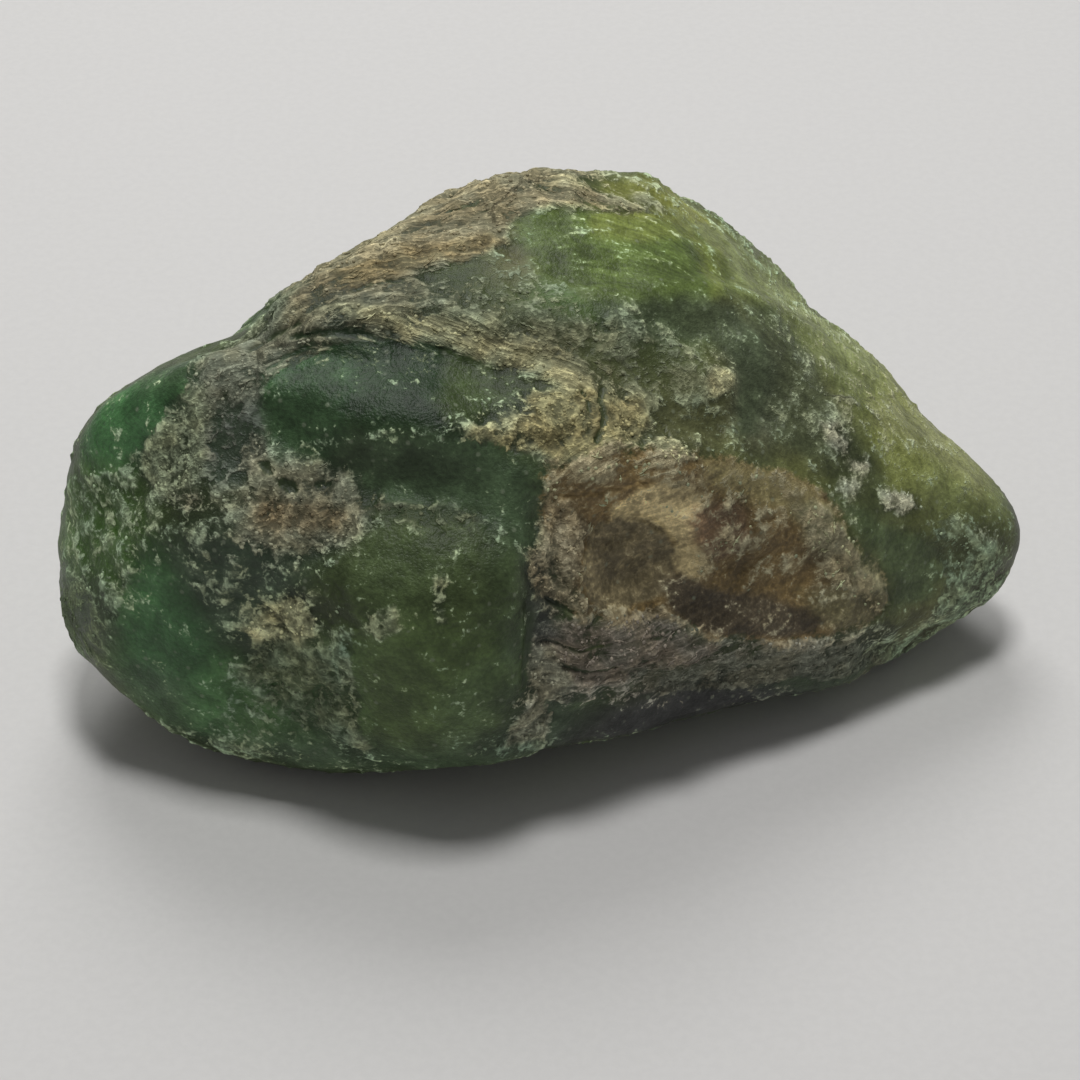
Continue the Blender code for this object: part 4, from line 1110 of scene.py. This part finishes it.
# %% [markdown]
# ## The stone's finish
# Three things meet in one material: satin green garnet, matt rind over it, dull like dry clay, and specks of
# pale dust on the green. Light goes a little way into real demantoid. This stone is so dark and clouded that
# an opaque shader looks the same and renders far faster; where light shines through the thin left edge, its
# glow is painted into the green instead. Bumps of a few hundredths of a millimetre are left to the material,
# since a mesh that fine would be wasted.

# %% The material
BODY_ROUGHNESS, RIND_ROUGHNESS, SHINE = 0.45, 0.88, 0.25
CLOUDS = 0.8  # clouds in a mm of green
DUST = 4.5  # cells in a mm that may hold a speck of dust
BUMP_STRENGTH, BUMP_DEPTH = 0.8, 0.04 * MM
SPECK_TONE = (0.30, 0.34, 0.24, 1.0)
# painted shade for the green between crusts of thick rind and along cracks, steps and rims
GAP_SHADE_TONE = (0.018, 0.026, 0.016, 1.0)
WARM_TINT, COOL_TINT = (1.05, 1.0, 0.94, 1.0), (0.97, 1.0, 1.02, 1.0)


def colour_mix(weave, factor, a, b, kind="MIX"):
    made = weave.node("ShaderNodeMix", data_type="RGBA", blend_type=kind)
    made.clamp_factor = True
    weave.feed(made.inputs["Factor"], factor)
    weave.feed([s for s in made.inputs if s.name == "A" and s.type == "RGBA"][0], a)
    weave.feed([s for s in made.inputs if s.name == "B" and s.type == "RGBA"][0], b)
    return [s for s in made.outputs if s.type == "RGBA"][0]


def brightened(weave, colour, factor):
    """The colour times a number."""
    joined = weave.node("ShaderNodeCombineXYZ")
    for socket in joined.inputs:
        weave.feed(socket, factor)
    return weave.vector("MULTIPLY", colour, joined.outputs[0])


def stored(weave, name, output):
    made = weave.node("ShaderNodeAttribute", attribute_name=name)
    return made.outputs[output]


def new_material(name, roughness, shine):
    material = bpy.data.materials.new(name)
    material.use_nodes = True
    shader = material.node_tree.nodes["Principled BSDF"]
    shader.inputs["Roughness"].default_value = roughness
    shader.inputs["Specular IOR Level"].default_value = shine
    return material, Weaver(material.node_tree), shader


def stone_finish():
    material, weave, shader = new_material("demantoid_and_rind", RIND_ROUGHNESS, SHINE)

    def read(name):
        return stored(weave, name, "Vector" if name.endswith("place") else "Fac")

    rind = rind_pattern(weave, read)
    place, threads, lies, stray = (rind[k] for k in ("place", "threads", "lies", "stray"))

    # green: cloudy inside, with a fine silk where the stone is layered
    cloud = weave.step(weave.noise(place, CLOUDS, 4.0, 0.6), 0.3, 0.7, 0.74, 1.26)
    mottle = weave.step(rind["clumps"], 0.0, 1.0, 0.86, 1.14)
    silk = weave.blend(read("streak"), 1.0, weave.step(rind["splits"], 0.35, 0.65, 0.8, 1.25))
    grit = weave.step(rind["fine"], 0.3, 0.7, 0.82, 1.2)
    shade = weave.math("MULTIPLY", weave.math("MULTIPLY", cloud, mottle), weave.math("MULTIPLY", silk, grit))
    green = brightened(weave, stored(weave, "body_tone", "Color"), shade)

    # the iron-stained pocket
    streaked = weave.math("MULTIPLY", shade, weave.blend(threads, 0.7, 1.4))
    streaked = weave.math("MULTIPLY", streaked, weave.blend(rind["bands"], 0.88, 1.12))
    streaked = weave.math("MULTIPLY", streaked, weave.blend(rind["pale"], 1.0, 1.9))
    stain = brightened(weave, stored(weave, "iron_tone", "Color"), streaked)
    iron = frayed(weave, stray, read("iron_pocket"), 0.1)
    green = colour_mix(weave, iron, green, stain)

    # painted shade: under thick rind, between its crusts, and in cracks and along the other dark lines,
    # the green is darkened
    gap = weave.math("MULTIPLY", weave.step(rind["cover"], 0.25, 0.8), 0.5)
    gap = weave.math("MAXIMUM", gap, weave.math("MULTIPLY", rind["dark"], 0.6))
    gap = weave.math("MULTIPLY", gap, weave.math("MULTIPLY_ADD", iron, -0.6, 1.0))
    green = colour_mix(weave, gap, green, GAP_SHADE_TONE)

    # pale dust specks
    cells = weave.node("ShaderNodeTexVoronoi")
    weave.feed(cells.inputs["Vector"], place)
    cells.inputs["Scale"].default_value = DUST
    dot = weave.step(cells.outputs["Distance"], 0.10, 0.30, 1.0, 0.0)
    pick = weave.node("ShaderNodeSeparateColor")
    weave.feed(pick.inputs[0], cells.outputs["Color"])
    chosen = weave.step(pick.outputs[0], 0.72, 0.86)
    speck = weave.math("MULTIPLY", weave.math("MULTIPLY", dot, chosen), 0.4)
    green = colour_mix(weave, speck, green, SPECK_TONE)

    # rind: bright threads, dull ground between them, dark pits; warmer here, cooler there
    stained = weave.math("MULTIPLY", iron, 0.8)
    tone = colour_mix(weave, stained, stored(weave, "rind_tone", "Color"), (*TONES["buff"], 1))
    slow = weave.node("ShaderNodeSeparateXYZ")
    weave.feed(slow.inputs[0], rind["drift"])
    tint = colour_mix(weave, weave.step(slow.outputs[0], 0.35, 0.65), WARM_TINT, COOL_TINT)
    tone = weave.vector("MULTIPLY", tone, tint)
    bright = weave.math("MULTIPLY", weave.blend(threads, 0.58, 1.42), grit)
    bright = weave.math("MULTIPLY", bright, weave.blend(rind["bands"], 0.75, 1.25))
    bright = weave.math("MULTIPLY", bright, weave.blend(rind["clumps"], 0.8, 1.16))
    bright = weave.math("MULTIPLY", bright, weave.math("MULTIPLY_ADD", rind["pits"], -0.45, 1.0))
    crust = brightened(weave, tone, bright)
    opacity = weave.math("MULTIPLY", lies, weave.blend(threads, 0.7, 1.0))
    opacity = weave.math("MAXIMUM", opacity, rind["film"])
    colour = colour_mix(weave, opacity, green, crust)
    weave.feed(shader.inputs["Base Color"], colour)
    weave.feed(shader.inputs["Roughness"], weave.blend(opacity, BODY_ROUGHNESS, RIND_ROUGHNESS))

    bump = weave.node("ShaderNodeBump")
    bump.inputs["Strength"].default_value = BUMP_STRENGTH
    bump.inputs["Distance"].default_value = BUMP_DEPTH
    rough = weave.math("MULTIPLY", lies, weave.math("MULTIPLY_ADD", rind["window"], -0.8, 1.0))
    raised = weave.math("MULTIPLY", threads, rough)
    tiny = sum_of(weave, (raised, 1.0), (rind["fine"], 1.0), (rind["dark"], -1.2))
    weave.feed(bump.inputs["Height"], tiny)
    weave.feed(shader.inputs["Normal"], bump.outputs[0])
    return material


finish = stone_finish()
stone = apply_tree(skin, relief, finish, RELIEF, "garnet_skin")
stone.data.shade_smooth()
made = coordinates(stone.data)
print("relief of", round(float(np.abs(made - points).max()), 3), "mm at most")
print("the stone has", triangles_in(stone), "triangles")

# %% Hand the stone to the frame
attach(stone, "root")
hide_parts("garnet_nodule")
bpy.data.objects.remove(skin)
print(stone.name, "stands for garnet_nodule")

# %% [markdown]
# ## Loose grains and fibres
# Close up, the rind isn't only a surface: crumbs of clay sit on it, and where it lies in layers their torn
# edges stand up as short pale fibres. Both are far too many to place by hand. Geometry Nodes strew one crumb
# of twenty faces, and one bent fibre, over the skin: more where the rind is thick, none on the bare green.
# Every crumb takes the tone of the rind under it, and the fibres lie along the layers.

# %% What is strewn
# density: in a mm2; smallest and largest: radius of a grain and length of a fibre, in mm
GRAINS = {"Density": 34.0, "Smallest": 0.02, "Largest": 0.052, "Flatness": 0.45}
FIBRES = {"Density": 15.0, "Smallest": 0.08, "Largest": 0.26, "Thickness": 0.05}  # thickness: of its length
SPOT_SEED, SHADE_SEED, SIZE_SEED, TURN_SEED, WIDTH_SEED = 11, 3, 5, 7, 9


def random_number(weave, low, high, seed):
    made = weave.node("FunctionNodeRandomValue", data_type="FLOAT")
    weave.feed(made.inputs[2], low)
    weave.feed(made.inputs[3], high)
    made.inputs["Seed"].default_value = seed
    return made.outputs[1]


def rotated(weave, rotation, turn):
    """The rotation, turned further about its own Z."""
    extra = weave.node("FunctionNodeEulerToRotation")
    angles = weave.node("ShaderNodeCombineXYZ")
    weave.feed(angles.inputs[2], turn)
    weave.feed(extra.inputs[0], angles.outputs[0])
    made = weave.node("FunctionNodeRotateRotation", rotation_space="LOCAL")
    weave.feed(made.inputs[0], rotation)
    weave.feed(made.inputs[1], extra.outputs[0])
    return made.outputs[0]


def strew(weave, given, out, share, shape, scale, turn, follow, shades):
    """Instances of the shape over the skin. share is from 0 to 1; follow lays them along the layers."""
    spots = weave.node("GeometryNodeDistributePointsOnFaces", distribute_method="RANDOM")
    weave.feed(spots.inputs["Mesh"], given["Geometry"])
    per_square_metre = weave.math("MULTIPLY", given["Density"], 1 / MM**2)
    weave.feed(spots.inputs["Density"], weave.math("MULTIPLY", share, per_square_metre))
    spots.inputs["Seed"].default_value = SPOT_SEED
    rotation = spots.outputs["Rotation"]
    if follow:
        aligned = weave.node("FunctionNodeAlignRotationToVector", axis="X", pivot_axis="Z")
        weave.feed(aligned.inputs["Rotation"], rotation)
        weave.feed(aligned.inputs["Vector"], named(weave, "FLOAT_VECTOR", "layer_way"))
        rotation = aligned.outputs[0]
    shaded = weave.node("GeometryNodeStoreNamedAttribute", data_type="FLOAT", domain="POINT")
    weave.feed(shaded.inputs["Geometry"], spots.outputs["Points"])
    shaded.inputs["Name"].default_value = "shade"
    weave.feed(shaded.inputs["Value"], random_number(weave, *shades, SHADE_SEED))
    strewn = weave.node("GeometryNodeInstanceOnPoints")
    weave.feed(strewn.inputs["Points"], shaded.outputs[0])
    weave.feed(strewn.inputs["Instance"], shape)
    weave.feed(strewn.inputs["Rotation"], rotated(weave, rotation, turn))
    weave.feed(strewn.inputs["Scale"], scale)
    end_tree(weave, strewn.outputs[0], given, out)


def thick_rind(weave, rind):
    """Where the rind lies and is thick, and not under the stone."""
    split = weave.node("ShaderNodeSeparateXYZ")
    weave.feed(split.inputs[0], rind["place"])
    share = weave.math("MULTIPLY", rind["lies"], weave.step(rind["cover"], 0.2, 1.0))
    return weave.math("MULTIPLY", share, weave.step(split.outputs[2], 0.3, 0.8))


def grain_tree():
    weave, given, out = new_geometry_tree("rind grains", GRAINS)
    share = thick_rind(weave, rind_pattern(weave, skin_reader(weave)))
    crumb = weave.node("GeometryNodeMeshIcoSphere")
    crumb.inputs["Radius"].default_value = 1.0
    crumb.inputs["Subdivisions"].default_value = 1
    size = weave.math("MULTIPLY", random_number(weave, given["Smallest"], given["Largest"], SIZE_SEED), MM)
    sides = weave.node("ShaderNodeCombineXYZ")
    weave.feed(sides.inputs[0], size)
    weave.feed(sides.inputs[1], weave.math("MULTIPLY", size, random_number(weave, 0.6, 1.0, WIDTH_SEED)))
    weave.feed(sides.inputs[2], weave.math("MULTIPLY", size, given["Flatness"]))
    turn = random_number(weave, 0.0, math.tau, TURN_SEED)
    strew(weave, given, out, share, crumb.outputs["Mesh"], sides.outputs[0], turn, False, (0.55, 1.45))
    return weave


def fibre_tree():
    weave, given, out = new_geometry_tree("rind fibres", FIBRES)
    read = skin_reader(weave)
    share = thick_rind(weave, rind_pattern(weave, read))
    iron = weave.step(read("iron_pocket"), 0.0, 0.3)
    share = weave.math("MULTIPLY", share, weave.math("MAXIMUM", read("streak"), iron))
    bow = weave.node("GeometryNodeCurveQuadraticBezier")
    bow.inputs["Resolution"].default_value = 4
    bow.inputs["Start"].default_value = (-0.5, 0, -0.03)
    bow.inputs["Middle"].default_value = (0.05, 0.16, 0.10)
    bow.inputs["End"].default_value = (0.5, 0, -0.03)
    ring = weave.node("GeometryNodeCurvePrimitiveCircle")
    ring.inputs["Resolution"].default_value = 3
    weave.feed(ring.inputs["Radius"], given["Thickness"])
    tube = weave.node("GeometryNodeCurveToMesh")
    weave.feed(tube.inputs["Curve"], bow.outputs[0])
    weave.feed(tube.inputs["Profile Curve"], ring.outputs[0])
    tube.inputs["Fill Caps"].default_value = True
    length = weave.math("MULTIPLY", random_number(weave, given["Smallest"], given["Largest"], SIZE_SEED), MM)
    stray = weave.math("MULTIPLY_ADD", read("streak"), -2.6, 3.0)  # along the layers, or any way
    turn = weave.math("MULTIPLY", random_number(weave, -1.0, 1.0, TURN_SEED), stray)
    sides = weave.vector("SCALE", (1.0, 1.0, 1.0), scale=length)
    strew(weave, given, out, share, tube.outputs[0], sides, turn, True, (0.8, 1.7))
    return weave


# %% Strew them
def crumb_finish(name):
    """Dull clay in the tone of the rind, lighter or darker from piece to piece."""
    material, weave, shader = new_material(name, RIND_ROUGHNESS, SHINE)
    tone = stored(weave, "rind_tone", "Color")
    weave.feed(shader.inputs["Base Color"], brightened(weave, tone, stored(weave, "shade", "Fac")))
    return material


for name, tree, sizes in (("rind_grains", grain_tree, GRAINS), ("rind_fibres", fibre_tree, FIBRES)):
    base = bpy.data.objects.new("base", stone.data.copy())
    bpy.context.scene.collection.objects.link(base)
    strewn = apply_tree(base, tree(), crumb_finish(name + "_clay"), sizes, name)
    strewn.data.shade_smooth()
    bpy.data.objects.remove(base)
    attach(strewn, "root")
    print(name, "has", triangles_in(strewn), "triangles")

# %% [markdown]
# ## The table and the light
# The stone lies on a sheet of off-white paper, with a faint tooth from noise. Two soft lamps light it. The
# high one, almost straight above, makes the dark shadow under the overhanging front. The far one, lower and
# behind the stone, lays a wide and faint shadow in front of it. One lamp would do, but its shadow has only
# one edge, and under ceiling lights a stone's shadow has several. A weak, even sky fills the rest.

# %% Paper
PAPER_TONE = (0.715, 0.705, 0.69, 1.0)
PAPER_SIDE = 600 * MM
PAPER_ROUGHNESS, PAPER_SHINE = 0.95, 0.2
TOOTH = 5.0  # rises in a mm of paper


def paper_finish():
    material, weave, shader = new_material("paper", PAPER_ROUGHNESS, PAPER_SHINE)
    place = weave.vector("SCALE", weave.node("ShaderNodeTexCoord").outputs["Object"], scale=1 / MM)
    tooth = weave.step(weave.noise(place, TOOTH, 3.0, 0.6), 0.3, 0.7, 0.985, 1.015)
    weave.feed(shader.inputs["Base Color"], brightened(weave, PAPER_TONE[:3], tooth))
    return material


half = PAPER_SIDE / 2
paper_mesh = bpy.data.meshes.new("paper")
corners = [(-half, -half, 0), (half, -half, 0), (half, half, 0), (-half, half, 0)]
paper_mesh.from_pydata(corners, [], [(0, 1, 2, 3)])
paper_mesh.materials.append(paper_finish())
paper = bpy.data.objects.new("paper", paper_mesh)
bpy.context.scene.collection.objects.link(paper)
paper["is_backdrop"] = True
print("paper of", round(PAPER_SIDE / MM), "mm")

# %% Light
SKY_TONE, SKY_STRENGTH = (1.0, 1.0, 1.0, 1.0), 0.15

# place and side in mm, power in watts
Lamp = namedtuple("Lamp", "place side power")
LAMPS = {
    "high_lamp": Lamp((0, 1, 160), 34, 0.112),
    "far_lamp": Lamp((-12, 75, 110), 60, 0.066),
}

for name, lamp in LAMPS.items():
    lamp_data = bpy.data.lights.new(name, "AREA")
    lamp_data.size = lamp.side * MM
    lamp_data.energy = lamp.power
    lamp_object = bpy.data.objects.new(name, lamp_data)
    lamp_object.location = Vector(lamp.place) * MM
    lamp_object.rotation_euler = (HEART - lamp_object.location).to_track_quat("-Z", "Y").to_euler()
    bpy.context.scene.collection.objects.link(lamp_object)

sky = bpy.data.worlds.new("sky")
sky.use_nodes = True
sky.node_tree.nodes["Background"].inputs["Color"].default_value = SKY_TONE
sky.node_tree.nodes["Background"].inputs["Strength"].default_value = SKY_STRENGTH
bpy.context.scene.world = sky
bpy.context.scene.view_settings.view_transform = "Standard"
print(len(LAMPS), "lamps:", ", ".join(LAMPS))

# %% [markdown]
# ## Is it still the right size?
# Relief can make a piece grow. So the box round everything is measured again and set beside the packed
# solid's.

# %% Measure and finish
made_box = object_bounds()
grown = [(b - a) / (d - c) for a, b, c, d in zip(*made_box, *cad_box)]
print("the finished stone's sides as shares of the solid's:", [round(share, 3) for share in grown])
